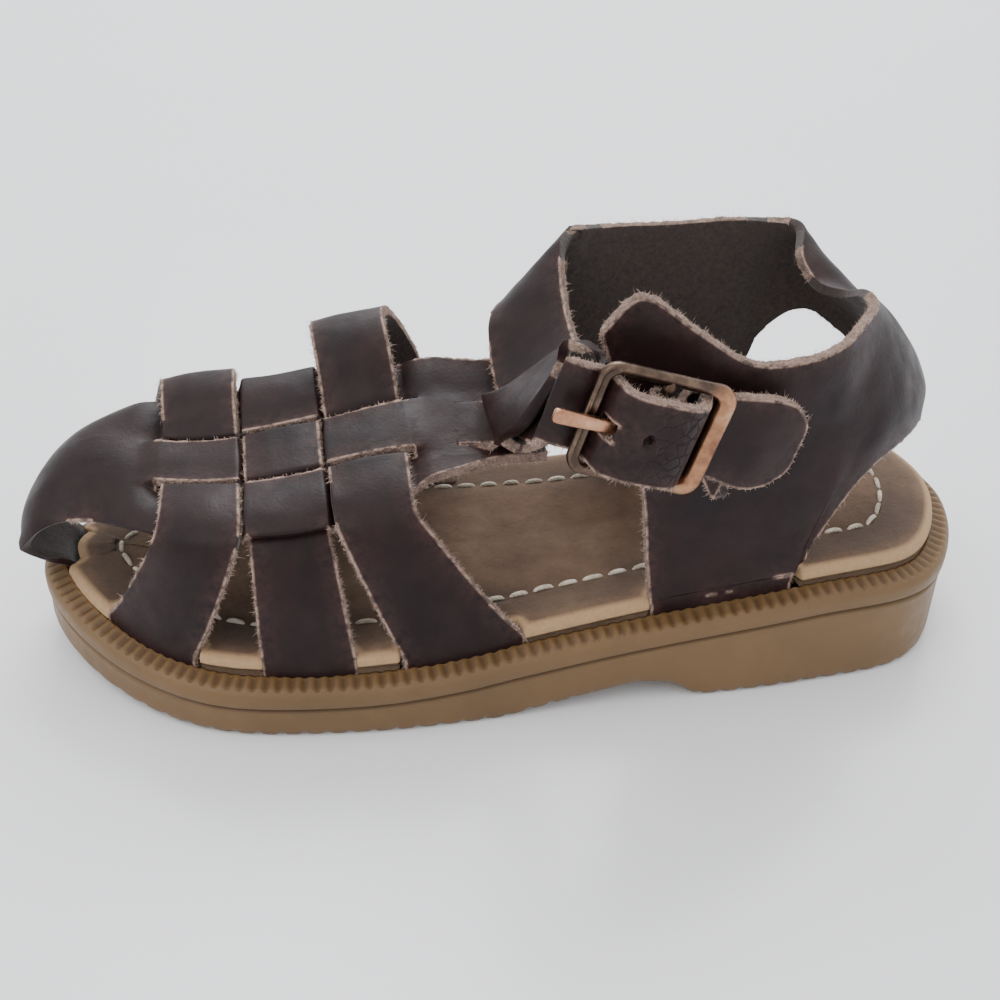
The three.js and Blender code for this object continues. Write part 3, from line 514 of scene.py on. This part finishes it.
def buckle_span(name):
    """a rigid piece's lowest and highest along, across and outwards, in mm"""
    local = [(to_buckle @ (v.co - bar_place)) / MM for v in frame["nodes"][name].data.vertices]
    return [(min(p[k] for p in local), max(p[k] for p in local)) for k in range(3)]


def place_buckle(points):
    return [bar_place + from_buckle @ (Vector(p) * MM) for p in points]


frame_span = buckle_span("buckle_frame")
prong_span = buckle_span("buckle_prong")
print("buckle frame spans", [tuple(round(v, 1) for v in span) for span in frame_span])


# %% Leather pieces
def creased_at_buckle(points):
    """0 on plain leather, up to 1 where the strap is folded over the bar"""
    local = (points - np.array(bar_place)) @ np.array(from_buckle) / MM
    near = np.exp(-((local[:, 0] - 3.0) / 3.4) ** 2 - (local[:, 1] / 7.0) ** 4)
    out = smoothstep(local[:, 2], 0.5, 2.0)
    return 0.02 + 0.9 * near * out


def calm_at_buckle(points):
    """no swell where the frame rocks closely over the strap"""
    local = (points - np.array(bar_place)) @ np.array(from_buckle) / MM
    return 1 - np.exp(-(local[:, 0] / 12.0) ** 6 - (local[:, 1] / 10.0) ** 6 - (local[:, 2] / 9.0) ** 6)


def sink_spare_hole(points):
    """a punched hole that isn't in use, beside the one the prong goes through"""
    local = (points - np.array(bar_place)) @ np.array(from_buckle) / MM
    gap = np.hypot(local[:, 0] + 1.6, local[:, 1] - 0.4)
    top = smoothstep(local[:, 2], 0.8, 1.6)
    local[:, 2] -= 1.1 * top * (1 - smoothstep(gap, 0.35, 0.85))
    return np.array(bar_place) + (local * MM) @ np.array(to_buckle)


def pull_tab_end_down(points):
    """the sewn end of the tab hangs a little below the strap"""
    local = (points - np.array(bar_place)) @ np.array(from_buckle) / MM
    reach = smoothstep(local[:, 0], 8.5, 15)
    local[:, 1] -= 5.2 * reach
    return np.array(bar_place) + (local * MM) @ np.array(to_buckle)


leather = [
    leather_piece("cross_strap_front", outward_from_foot, 1),
    leather_piece("cross_strap_middle", outward_from_foot, 2),
    leather_piece("cross_strap_rear", outward_from_foot, 3),
    leather_piece("vamp", outward_from_foot, 4, swell=0.18),
    leather_piece("quarter_and_ankle_strap", outward_from_ankle, 5, swell=0.15, wave=0.2,
                  wrinkle=creased_at_buckle, bend=sink_spare_hole, calm=calm_at_buckle),
    leather_piece("buckle_tab", outward_from_ankle, 6, swell=0.0, wave=0.1, thickest=2.4,
                  bend=pull_tab_end_down, fray=1.4),
]

# %% [markdown]
# ## Loose fibres on the cut edges
# Raw leather frays: short pale fibres stand out of every cut edge. Hair particles could
# make them, but particles don't travel with an exported model. So each fibre is a thin
# three-sided spike of mesh, rooted at a random place on an edge face.


# %% Fray the edges
def spike(root, direction, length, width, luck):
    """corners of one bent, tapered fibre"""
    side = direction.cross(Vector((luck.random(), luck.random(), luck.random()))).normalized()
    other = direction.cross(side).normalized()
    sag = side * length * luck.uniform(-0.45, 0.45) + other * length * luck.uniform(-0.45, 0.45)
    ring = [(side * math.cos(a) + other * math.sin(a)) * width for a in (0, 2.1, 4.2)]
    middle = root + direction * length * 0.55 + sag * 0.35
    tip = root + direction * length + sag
    return [root + r for r in ring] + [middle + r * 0.7 for r in ring] + [tip]


SPIKE_FACES = [(0, 1, 4, 3), (1, 2, 5, 4), (2, 0, 3, 5), (3, 4, 6), (4, 5, 6), (5, 3, 6)]


def fray(piece, count, seed, longest=1.0):
    luck = random.Random(seed)
    mesh = piece.data
    rims = [p for p in mesh.polygons if p.material_index == EDGE]
    weights = [p.area for p in rims]
    corners, faces = [], []
    for polygon in luck.choices(rims, weights, k=count):
        length = luck.uniform(0.2, 0.7) * MM
        if luck.random() < 0.05:
            length = luck.uniform(0.6, 1.5) * longest * MM
        lean = Vector((luck.uniform(-1, 1), luck.uniform(-1, 1), luck.uniform(-1, 1)))
        direction = (polygon.normal + lean * 0.8).normalized()
        start = len(corners)
        corners += spike(polygon.center - polygon.normal * 0.05 * MM, direction, length,
                         luck.uniform(0.018, 0.04) * MM, luck)
        faces += [tuple(start + k for k in face) for face in SPIKE_FACES]
    made = bpy.data.meshes.new(piece.name + "_fibres")
    made.from_pydata(corners, [], faces)
    made.materials.append(leather_fibre)
    fibres = bpy.data.objects.new(piece.name + "_fibres", made)
    bpy.context.scene.collection.objects.link(fibres)
    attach(fibres, "shoe")
    return fibres


for piece, count in zip(leather, (2600, 2600, 3000, 5600, 6400, 1300)):
    fray(piece, count, count + 5)
print("frayed", len(leather), "pieces")

# %% [markdown]
# ## The rubber sole
# The sole is one moulded piece of gum rubber. Its rim is fluted like the milled edge of a
# coin, a smooth band runs below the flutes, a groove and a lip below that, and the tread
# is ribbed. A texture can't change the outline, and the flutes show against the floor, so
# they are modelled. The sole is built as rings: each ring follows the outline at its own
# inset and height.

# %% Measure the rigid sole
def solid_tree(name):
    """a rigid piece as a tree that can be probed with rays"""
    made = bmesh.new()
    made.from_mesh(frame["nodes"][name].data)
    return BVHTree.FromBMesh(made)


sole_tree = solid_tree("outsole")


def rim_height(x, y, inset=0.9):
    """top of the rim just inside the outline point (x, y)"""
    inward = Vector((max(min(x, 48 * MM), -46 * MM) - x, sole_middle.y - y, 0)).normalized()
    hit = sole_tree.ray_cast(Vector((x, y, 0.1)) + inward * inset * MM, Vector((0, 0, -1)))
    return hit[0].z


def outline_point(angle):
    direction = Vector((math.cos(angle), math.sin(angle), 0))
    start = Vector((sole_middle.x, sole_middle.y, 0)) + direction * 0.15
    first = sole_tree.ray_cast(start + Vector((0, 0, 6.3 * MM)), -direction)[0]
    top = rim_height(first.x, first.y)
    hit = sole_tree.ray_cast(start + Vector((0, 0, top - 2 * MM)), -direction)[0]
    return Vector((hit.x, hit.y, top))


def closed_outline(count):
    """the outline and its rim height at even steps round the sole"""
    raw = [outline_point(2 * math.pi * i / 900) for i in range(900)]
    for _ in range(6):
        raw = [(raw[i - 1] + raw[i] * 2 + raw[(i + 1) % len(raw)]) / 4 for i in range(len(raw))]
    flat = np.array([(p.x, p.y, p.z) for p in raw + raw[:1]])
    step = np.linalg.norm(np.diff(flat[:, :2], axis=0), axis=1)
    walked = np.concatenate(([0], np.cumsum(step)))
    even = np.linspace(0, walked[-1], count, endpoint=False)
    return np.stack([np.interp(even, walked, flat[:, k]) for k in range(3)], axis=1), walked[-1]


_, girth = closed_outline(400)
flutes = round(girth / (1.8 * MM))
PER_FLUTE = 10
outline, girth = closed_outline(flutes * PER_FLUTE)
tangent = np.roll(outline, -3, axis=0)[:, :2] - np.roll(outline, 3, axis=0)[:, :2]
tangent /= np.linalg.norm(tangent, axis=1)[:, None]
inward = np.stack([-tangent[:, 1], tangent[:, 0]], axis=1)
rim_z = outline[:, 2] / MM
print(f"outline {girth / MM:.0f} mm round, {flutes} flutes")


def inset_by(amount):
    """outline moved inwards by amount mm; amount may differ from point to point"""
    return outline[:, :2] + inward * (np.broadcast_to(amount, len(outline)) * MM)[:, None]


def tread_z(x, y):
    hit = sole_tree.ray_cast(Vector((x, y, -0.02)), Vector((0, 0, 1)))
    return hit[0].z / MM


spine_x = np.clip(outline[:, 0], sole_low.x + 22 * MM, sole_high.x - 22 * MM)
inner = inset_by(5.0)
ground_z = np.array([tread_z(x, y) for x, y in inner])


# %% Build the sole ring by ring
def ring_mesh(name, rings, material):
    """skins a stack of rings of (xy, z in mm) and closes both ends along the spine"""
    corners, faces = [], []
    count = len(outline)
    for flat, height in rings:
        corners += [(x, y, z * MM) for (x, y), z in zip(flat, np.broadcast_to(height, count))]
    for level in range(len(rings) - 1):
        low, high = level * count, (level + 1) * count
        for i in range(count):
            j = (i + 1) % count
            faces.append((low + i, low + j, high + j, high + i))
    mesh = bpy.data.meshes.new(name)
    mesh.from_pydata(corners, [], faces)
    made = bmesh.new()
    made.from_mesh(mesh)
    bmesh.ops.remove_doubles(made, verts=made.verts[:], dist=1e-6)
    bmesh.ops.recalc_face_normals(made, faces=made.faces[:])
    made.to_mesh(mesh)
    made.free()
    mesh.shade_smooth()
    mesh.materials.append(material)
    piece = bpy.data.objects.new(name, mesh)
    bpy.context.scene.collection.objects.link(piece)
    return piece


def towards_spine(flat, share):
    spine = np.stack([spine_x, np.interp(spine_x, stations, middle_y)], axis=1)
    return flat * (1 - share) + spine * share


stations = np.linspace(sole_low.x + 1.5 * MM, sole_high.x - 1.5 * MM, 120)
middle_y = []
for x in stations:
    near = np.argsort(np.abs(outline[:, 0] - x))[:24]
    ys = outline[near, 1]
    middle_y.append((ys.max() + ys.min()) / 2)

phase = np.arange(len(outline)) / PER_FLUTE * 2 * math.pi
ridge = (0.5 + 0.5 * np.cos(phase)) ** 0.8


def tread_ribs(flat, depth):
    """ribs across the tread, 3.2 mm apart, with flat tops and narrow valleys"""
    wave = 0.5 + 0.5 * np.cos(flat[:, 0] / (3.2 * MM) * 2 * math.pi)
    on_ground = smoothstep(2.6 - ground_z, 0, 1.5)
    return depth * wave ** 3 * on_ground


def sole_rings():
    rings = []
    for share in (1.0, 0.6, 0.25):
        flat = towards_spine(inset_by(1.6), share)
        rings.append((flat, ground_z + tread_ribs(flat, 0.42)))
    for inset, lift, depth in ((1.5, 0.0, 0.42), (0.75, 0.12, 0.4), (0.42, 0.7, 0.2), (0.32, 1.5, 0.0)):
        flat = inset_by(inset)
        rings.append((flat, ground_z + lift + tread_ribs(flat, depth)))
    for inset, drop in ((0.36, 5.4), (0.34, 4.6), (0.26, 4.15), (0.22, 3.85), (0.32, 3.6), (0.72, 3.42),
                        (0.86, 3.22), (0.8, 3.02), (0.22, 2.84), (0.04, 2.6), (0, 2.0), (0, 1.3),
                        (0.08, 0.8), (0.28, 0.38), (0.62, 0.08)):
        rings.append((inset_by(inset), np.maximum(rim_z - drop, ground_z + 1.55 + 0.01 * (6 - drop))))
    for inset, rise, depth in ((0.7, 0.12, 0.12), (0.95, 0.3, 0.3), (1.4, 0.42, 0.34), (2.0, 0.56, 0.34),
                               (2.6, 0.70, 0.34), (3.0, 0.78, 0.3), (3.3, 0.76, 0.2)):
        rings.append((inset_by(inset), rim_z + rise - 0.1 - depth * (1 - ridge)))
    rings.append((inset_by(3.4), rim_z - 2.7))
    for share in (0.3, 1.0):
        rings.append((towards_spine(inset_by(3.4), share), rim_z - 2.75))
    return rings


# %% Gum rubber
def rubber_material():
    material, tree, shader = new_material("gum rubber", (0.22, 0.13, 0.055), 0.5)
    where = object_space(tree)
    clouds = noise_at(tree, 45, 4, 0.6, where)
    base = ramp(tree, clouds, (0.3, (0.112, 0.059, 0.018)), (0.7, (0.160, 0.088, 0.030)))
    dusty = noise_at(tree, 380, 6, 0.7, where)
    base = mix(tree, grey_ramp(tree, dusty, (0.5, 0.0), (0.75, 0.35)), base, (0.185, 0.116, 0.054))
    # painted shade: the groove below the smooth band and the valleys between the flutes are darkened in the
    # colour towards (0.060, 0.026, 0.006), standing in for the shade that falls into them
    groove_shade_amount = attribute(tree, "painted_groove_shade")
    color = mix(tree, groove_shade_amount, base, (0.060, 0.026, 0.006))
    tree.links.new(color, shader.inputs["Base Color"])
    tree.links.new(grey_ramp(tree, dusty, (0.35, 0.42), (0.7, 0.62)), shader.inputs["Roughness"])
    bump(tree, shader, (noise_at(tree, 900, 5, 0.6, where), 0.12, 0.12))
    shader.inputs["Subsurface Weight"].default_value = 0.12
    shader.inputs["Subsurface Radius"].default_value = (0.0016, 0.0008, 0.0003)
    return material


gum_rubber = rubber_material()
sole = ring_mesh("outsole_rubber", sole_rings(), gum_rubber)
sole_places = corners_of(sole.data)
outline_tree = tree_of([(x, y, 0) for x, y in outline[:, :2]])
# painted shade mask: near 1 in the groove about 3.2 mm below the rim and in the flute valleys, where the
# rubber's colour is darkened in place of shade
painted_groove_shade = []
for x, y, z in sole_places:
    _, index, gap = outline_tree.find((x, y, 0))
    drop = rim_z[index] - z / MM
    shade_in_groove = math.exp(-((drop - 3.22) / 0.28) ** 2) * (1 if gap > 0.4 * MM else 0.4)
    shade_in_flute = (1 - ridge[index]) * (1 if 1.0 < gap / MM < 2.88 and drop < 1 else 0)
    painted_groove_shade.append(min(1.0, shade_in_groove + 0.75 * shade_in_flute))
store(sole.data, "painted_groove_shade", painted_groove_shade)
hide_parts("outsole")
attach(sole, "shoe")
print("sole:", len(sole.data.polygons), "faces, lowest", round(sole_places[:, 2].min() / MM, 2), "mm")

# %% [markdown]
# ## The footbed
# The foot stands on suede glued over foam. Between the straps the suede rolls out to the
# flutes, under a strap it is held back. Feet have polished the middle, dirt has darkened
# the band outside the seam, and the rolled edge has stayed pale. The roll is modelled; the
# dirt and the polish follow the distance to the edge, which is stored on the mesh.

# %% Where a strap holds the footbed back
leather_trees = [solid_tree(name) for name in (
    "cross_strap_front", "cross_strap_middle", "cross_strap_rear", "vamp", "quarter_and_ankle_strap")]
cover_tree = solid_tree("footbed_cover")


def strap_beside(i):
    start = inset_by(6.2)[i]
    away = Vector((-inward[i][0], -inward[i][1], 0))
    for rise in (1.4, 2.6, 4.0):
        origin = Vector((start[0], start[1], (rim_z[i] + rise) * MM))
        if any(tree.ray_cast(origin, away, 5.2 * MM)[0] for tree in leather_trees):
            return True
    return False


held = np.array([1.0 if strap_beside(i) else 0.0 for i in range(len(outline))])
kernel = np.hanning(9)
kernel /= kernel.sum()
tight = np.array([held[(np.arange(i - 3, i + 4)) % len(held)].min() for i in range(len(held))])
held = np.convolve(np.concatenate((tight[-40:], tight, tight[:40])), kernel, "same")[40:-40]
edge_inset = 3.15 + 2.1 * held
inner_line = inset_by(9.0)
cover_z = np.array([cover_tree.ray_cast(Vector((x, y, 0.1)), Vector((0, 0, -1)))[0].z / MM
                    for x, y in inner_line])
print("footbed held back along", round(100 * held.mean()), "% of its edge")
SEAM = 11.2


# %% Footbed cover
def suede_material():
    material, tree, shader = new_material("tan suede", (0.2, 0.13, 0.08), 0.95)
    where = object_space(tree)
    nap = noise_at(tree, 1300, 6, 0.75, where)
    blotch = noise_at(tree, 70, 5, 0.62, where)
    middle = ramp(tree, blotch, (0.28, (0.070, 0.036, 0.019)), (0.5, (0.135, 0.076, 0.042)),
                  (0.75, (0.22, 0.138, 0.082)))
    distance = attribute(tree, "edge_distance")
    band = grey_ramp(tree, distance, (0.0, 0.0), (0.10, 0.15), (0.2, 0.9), (0.42, 1.0),
                     (0.56, 0.25), (0.8, 0.0))
    grime = math_node(tree, "MULTIPLY", band, grey_ramp(tree, blotch, (0.25, 0.95), (0.7, 0.55)))
    color = mix(tree, grime, middle, (0.060, 0.036, 0.023))
    pale = grey_ramp(tree, distance, (0.0, 1.0), (0.05, 0.9), (0.10, 0.0))
    color = mix(tree, pale, color, (0.40, 0.255, 0.135))
    color = mix(tree, 0.35, color, grey_ramp(tree, nap, (0.3, 0.35), (0.7, 0.72)), "OVERLAY")
    tree.links.new(color, shader.inputs["Base Color"])
    bump(tree, shader, (noise_at(tree, 260, 5, 0.6, where), 0.25, 0.4), (nap, 0.7, 0.3))
    shader.inputs["Sheen Weight"].default_value = 0.06
    shader.inputs["Sheen Roughness"].default_value = 0.6
    return material


def footbed_rings():
    rings = []
    for share in (1.0, 0.5):
        rings.append((towards_spine(inset_by(edge_inset + 1.5), share), cover_z - 1.6))
    rings.append((inset_by(edge_inset + 1.4), rim_z + 0.2 + 1.4 * held))
    rings.append((inset_by(edge_inset + 0.25), rim_z + 0.25 + 1.4 * held))
    for inset, drop in ((0.0, 1.55), (0.02, 1.1), (0.12, 0.72), (0.36, 0.34), (0.75, 0.1), (1.3, -0.02),
                        (2.2, -0.10), (3.2, -0.12), (4.4, -0.06), (5.4, 0.05)):
        low = rim_z + 0.5 + 1.4 * held
        rings.append((inset_by(edge_inset + inset), np.maximum(cover_z - drop, low)))
    for inset, drop in ((SEAM - 1.2, 0.08), (SEAM - 0.5, 0.2), (SEAM, 0.28), (SEAM + 0.5, 0.2),
                        (SEAM + 1.2, 0.06), (SEAM + 3, 0.0)):
        rings.append((inset_by(inset), cover_z - drop))
    for share in (0.25, 0.5, 0.75, 1.0):
        rings.append((towards_spine(inset_by(SEAM + 3), share), cover_z - 0.25 * share))
    return rings


tan_suede = suede_material()
footbed = ring_mesh("footbed_cover_suede", footbed_rings(), tan_suede)
footbed_places = corners_of(footbed.data)
edge_xy = inset_by(edge_inset)
edge_tree = tree_of([(x, y, 0) for x, y in edge_xy])
to_edge = np.array([edge_tree.find((x, y, 0))[2] for x, y, _ in footbed_places]) / MM
footbed_places[:, 2] += 0.10 * MM * drift(footbed_places, 140, 21)
move_corners(footbed.data, footbed_places)
store(footbed.data, "edge_distance", np.clip(to_edge / 16, 0, 1))
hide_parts("footbed_cover")
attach(footbed, "shoe")
print("footbed:", len(footbed.data.polygons), "faces")

# %% [markdown]
# ## The seam
# A row of thick waxed stitches holds the suede. Each stitch is a short arched rope that
# dives into the suede at both ends. A single ring of thread would look like piping, so the
# stitches are made one by one, with small differences in length and direction.


# %% Stitches
def thread_material():
    material, tree, shader = new_material("waxed thread", (0.62, 0.55, 0.45), 0.7)
    where = object_space(tree)
    dirt = noise_at(tree, 500, 4, 0.6, where)
    tree.links.new(ramp(tree, dirt, (0.3, (0.36, 0.29, 0.21)), (0.6, (0.70, 0.63, 0.52))),
                   shader.inputs["Base Color"])
    strands = node(tree, "ShaderNodeTexWave", {"Vector": where}, Scale=900.0, Distortion=2.0,
                   bands_direction="DIAGONAL").outputs["Fac"]
    bump(tree, shader, (strands, 0.6, 0.12))
    return material


def stitch(start, end, radius, luck):
    """rings of one stitch between two points on the suede"""
    length = (end - start).length
    forward_ = (end - start).normalized()
    side = forward_.cross(Vector((0, 0, 1))).normalized()
    lean = side * luck.uniform(-0.12, 0.12) * MM
    rings = []
    for k in range(9):
        share = k / 8
        arch = math.sin(math.pi * share) ** 0.5
        middle = start + forward_ * length * share + lean * arch + Vector((0, 0, (arch * 0.42 - 0.28) * MM))
        thick = radius * (0.55 + 0.45 * math.sin(math.pi * share) ** 0.4)
        rings.append([middle + (side * math.cos(a) + Vector((0, 0, 1)) * math.sin(a)) * thick
                      for a in np.linspace(0, 2 * math.pi, 8, endpoint=False)])
    return rings


def skin(rings, corners, faces, close=True):
    """adds the tube through rings of equal size to corners and faces"""
    size = len(rings[0])
    start = len(corners)
    for ring in rings:
        corners += [tuple(p) for p in ring]
    for level in range(len(rings) - 1):
        for i in range(size):
            low = start + level * size
            faces.append((low + i, low + (i + 1) % size, low + size + (i + 1) % size, low + size + i))
    if close:
        faces.append(tuple(start + i for i in reversed(range(size))))
        faces.append(tuple(start + (len(rings) - 1) * size + i for i in range(size)))


def new_piece(name, corners, faces, material, body):
    mesh = bpy.data.meshes.new(name)
    mesh.from_pydata([tuple(c) for c in corners], [], faces)
    mesh.shade_smooth()
    mesh.materials.append(material)
    piece = bpy.data.objects.new(name, mesh)
    bpy.context.scene.collection.objects.link(piece)
    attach(piece, body)
    return piece


def seam_line():
    flat = inset_by(SEAM)
    line = np.column_stack([flat, (cover_z - 0.12) * MM])
    return np.vstack([line, line[:1]])


def stitches():
    luck = random.Random(11)
    line = seam_line()
    walked = np.concatenate(([0], np.cumsum(np.linalg.norm(np.diff(line, axis=0), axis=1))))
    count = round(walked[-1] / (3.7 * MM))
    pitch_ = walked[-1] / count
    corners, faces = [], []
    for i in range(count):
        gap = luck.uniform(0.25, 0.5) * MM
        at = [Vector([np.interp(s, walked, line[:, k]) for k in range(3)])
              for s in (i * pitch_ + gap, (i + 1) * pitch_ - gap)]
        skin(stitch(at[0], at[1], 0.36 * MM, luck), corners, faces)
    print(count, "stitches")
    return new_piece("footbed_stitches", corners, faces, thread_material(), "shoe")


seam = stitches()
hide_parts("footbed_thread")

# %% [markdown]
# ## The buckle
# The buckle is cast zinc with an antique brass finish: a dark plating is rubbed off again
# where hands touch it, so copper and brass shine through on the high places. The frame is
# one rounded bar bent into a rectangle, heavier at the back. It is swept as a chain of
# cross sections, so the bar can swell where the casting does.


# %% Antique brass
def brass_material():
    material, tree, shader = new_material("antique brass", (0.5, 0.3, 0.18), 0.3, 1.0)
    where = object_space(tree)
    patches_ = noise_at(tree, 260, 5, 0.65, where)
    plated = ramp(tree, patches_, (0.34, (0.040, 0.032, 0.028)), (0.52, (0.095, 0.073, 0.060)),
                  (0.68, (0.20, 0.145, 0.105)))
    bright = ramp(tree, patches_, (0.34, (0.20, 0.095, 0.055)), (0.52, (0.40, 0.20, 0.11)),
                  (0.70, (0.55, 0.38, 0.22)))
    color = mix(tree, attribute(tree, "handled"), plated, bright)
    dark = grey_ramp(tree, attribute(tree, "hollow"), (0.0, 0.0), (1.0, 0.85))
    color = mix(tree, dark, color, (0.055, 0.04, 0.03))
    tree.links.new(color, shader.inputs["Base Color"])
    tree.links.new(grey_ramp(tree, noise_at(tree, 900, 4, 0.6, where), (0.3, 0.26), (0.75, 0.46)),
                   shader.inputs["Roughness"])
    bump(tree, shader, (noise_at(tree, 1600, 4, 0.6, where), 0.08, 0.08))
    return material


antique_brass = brass_material()


# %% Buckle frame
def rounded_corners(low_x, high_x, half_y, radius, steps=8):
    """points round a rounded rectangle, anticlockwise from the middle of the rear bar"""
    centres = [(high_x - radius, half_y - radius, 0), (low_x + radius, half_y - radius, 90),
               (low_x + radius, -half_y + radius, 180), (high_x - radius, -half_y + radius, 270)]
    points = []
    for cx, cy, start in centres:
        for k in range(steps + 1):
            turn = math.radians(start + 90 * k / steps)
            points.append((cx + radius * math.cos(turn), cy + radius * math.sin(turn)))
    return points


def frame_section(inside, outside, half_height, hollow):
    """one cross section of the bar, from its inside line to its outside line"""
    middle, half_width = (inside + outside) / 2, (outside - inside) / 2
    section = []
    for k in range(20):
        turn = 2 * math.pi * k / 20
        u = math.copysign(abs(math.cos(turn)) ** 0.8, math.cos(turn))
        v = math.copysign(abs(math.sin(turn)) ** 0.8, math.sin(turn))
        if v > 0:
            v -= hollow * math.exp(-(u / 0.3) ** 2)
        section.append((middle[0] + half_width[0] * u, middle[1] + half_width[1] * u, half_height * v))
    return section


def buckle_frame():
    (low_x, high_x), (low_y, high_y) = frame_span[:2]
    half_y = (high_y - low_y) / 2
    thin, heavy = 1.6, 2.7
    inner_loop = rounded_corners(low_x + thin, high_x - heavy, half_y - thin, 1.1)
    outer_loop = rounded_corners(low_x, high_x, half_y, 2.6)
    outside, inside = np.array(outer_loop), np.array(inner_loop)
    filled_out, filled_in = [], []
    for i in range(len(outside)):
        j = (i + 1) % len(outside)
        pieces = 10 if np.linalg.norm(outside[j] - outside[i]) > 3 else 2
        for k in range(pieces):
            filled_out.append(outside[i] + (outside[j] - outside[i]) * k / pieces)
            filled_in.append(inside[i] + (inside[j] - inside[i]) * k / pieces)
    corners, faces, hollows, handled, rings = [], [], [], [], []
    for out_point, in_point in zip(filled_out, filled_in):
        rear = float(smoothstep(np.array(out_point[0]), high_x - 4.2, high_x - 1.0))
        front = float(1 - smoothstep(np.array(out_point[0]), low_x + 0.6, low_x + 2.4))
        height = 0.8 + 0.4 * rear
        rings.append(frame_section(in_point, out_point, height, 0.55 * front))
        handled += [0.12 + 0.8 * rear] * 20
        hollows += [0.9 * front * math.exp(-((k - 5) / 1.6) ** 2) for k in range(20)]
    rings.append(rings[0])
    skin([place_buckle(ring) for ring in rings], corners, faces, close=False)
    piece = new_piece("buckle_frame_cast", corners, faces, antique_brass, "buckle")
    store(piece.data, "hollow", hollows + hollows[:20])
    store(piece.data, "handled", handled + handled[:20])
    return piece


def round_bar(half_length, radius):
    rings = []
    for k in range(9):
        share = -1 + 2 * k / 8
        rings.append([(radius * math.cos(a), share * half_length, radius * math.sin(a))
                      for a in np.linspace(0, 2 * math.pi, 24, endpoint=False)])
    corners, faces = [], []
    skin([place_buckle(ring) for ring in rings], corners, faces)
    piece = new_piece("buckle_centre_bar", corners, faces, antique_brass, "buckle")
    store(piece.data, "hollow", [0.6] * len(corners))
    store(piece.data, "handled", [0.3] * len(corners))
    return piece


frame_piece = buckle_frame()
round_bar((frame_span[1][1] - frame_span[1][0]) / 2 - 0.9, 0.8)
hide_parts("buckle_frame")
print("buckle frame:", len(frame_piece.data.polygons), "faces")


# %% Prong
def prong():
    """the eye round the centre bar and the flat tongue that rests on the front bar"""
    tip = prong_span[0][0]
    route = [(math.sin(a) * 1.5, math.cos(a) * 1.5, 1.0) for a in np.linspace(math.radians(330), 0, 22)]
    route += [(-1.2, 1.5, 1.0), (-3.5, 1.5, 1.0), (-5.2, 1.52, 1.0), (-6.2, 1.6, 1.0), (-7.2, 1.7, 1.0),
              (-9, 1.7, 1.02), (-11, 1.7, 1.08), (tip + 0.7, 1.7, 1.08), (tip + 0.2, 1.68, 0.98),
              (tip, 1.66, 0.7)]
    rings = []
    for i, (a, o, wide_) in enumerate(route):
        before = Vector(route[max(i - 1, 0)][:2])
        after = Vector(route[min(i + 1, len(route) - 1)][:2])
        run = (after - before).normalized()
        lift = Vector((run.y, -run.x))
        ring = []
        for k in range(16):
            turn = 2 * math.pi * k / 16
            u = math.copysign(abs(math.cos(turn)) ** 0.55, math.cos(turn)) * 0.9 * wide_
            half_thick = 0.58 if i < len(route) - 1 else 0.4
            v = math.copysign(abs(math.sin(turn)) ** 0.55, math.sin(turn)) * half_thick
            ring.append((a + lift.x * v, u, o + lift.y * v))
        rings.append(ring)
    corners, faces = [], []
    skin([place_buckle(ring) for ring in rings], corners, faces)
    return new_piece("buckle_prong_cast", corners, faces, prong_brass, "prong")


def copper_material():
    material, tree, shader = new_material("rubbed copper", (0.72, 0.40, 0.26), 0.3, 1.0)
    where = object_space(tree)
    tarnish = noise_at(tree, 420, 4, 0.6, where)
    color = ramp(tree, tarnish, (0.3, (0.33, 0.155, 0.09)), (0.7, (0.60, 0.33, 0.21)))
    tree.links.new(color, shader.inputs["Base Color"])
    tree.links.new(grey_ramp(tree, noise_at(tree, 1200, 4, 0.6, where), (0.3, 0.25), (0.75, 0.45)),
                   shader.inputs["Roughness"])
    return material


prong_brass = copper_material()
prong_piece = prong()
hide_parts("buckle_prong")


# %% [markdown]
# ## The hidden layers
# Under the suede lie foam, a pressed fibre board and a filler. They only show as thin
# lines from below or through the gaps, so their rigid shapes stay and each gets a plain
# porous material.

# %% Foam, board and filler
def porous_material(name, low, high, scale):
    material, tree, shader = new_material(name, low, 0.95)
    where = object_space(tree)
    specks = noise_at(tree, scale, 5, 0.7, where)
    tree.links.new(ramp(tree, specks, (0.3, low), (0.7, high)), shader.inputs["Base Color"])
    bump(tree, shader, (specks, 0.5, 0.2))
    return material


hidden = {
    "sole_filler": porous_material("sole foam", (0.36, 0.28, 0.2), (0.52, 0.43, 0.33), 1400),
    "footbed_foam": porous_material("footbed foam", (0.40, 0.32, 0.22), (0.58, 0.48, 0.36), 1600),
    "insole_board": porous_material("fibre board", (0.24, 0.16, 0.1), (0.40, 0.29, 0.19), 900),
}
for name, material in hidden.items():
    for slot in frame["nodes"][name].material_slots:
        slot.material = material
print("hidden layers:", sorted(hidden))
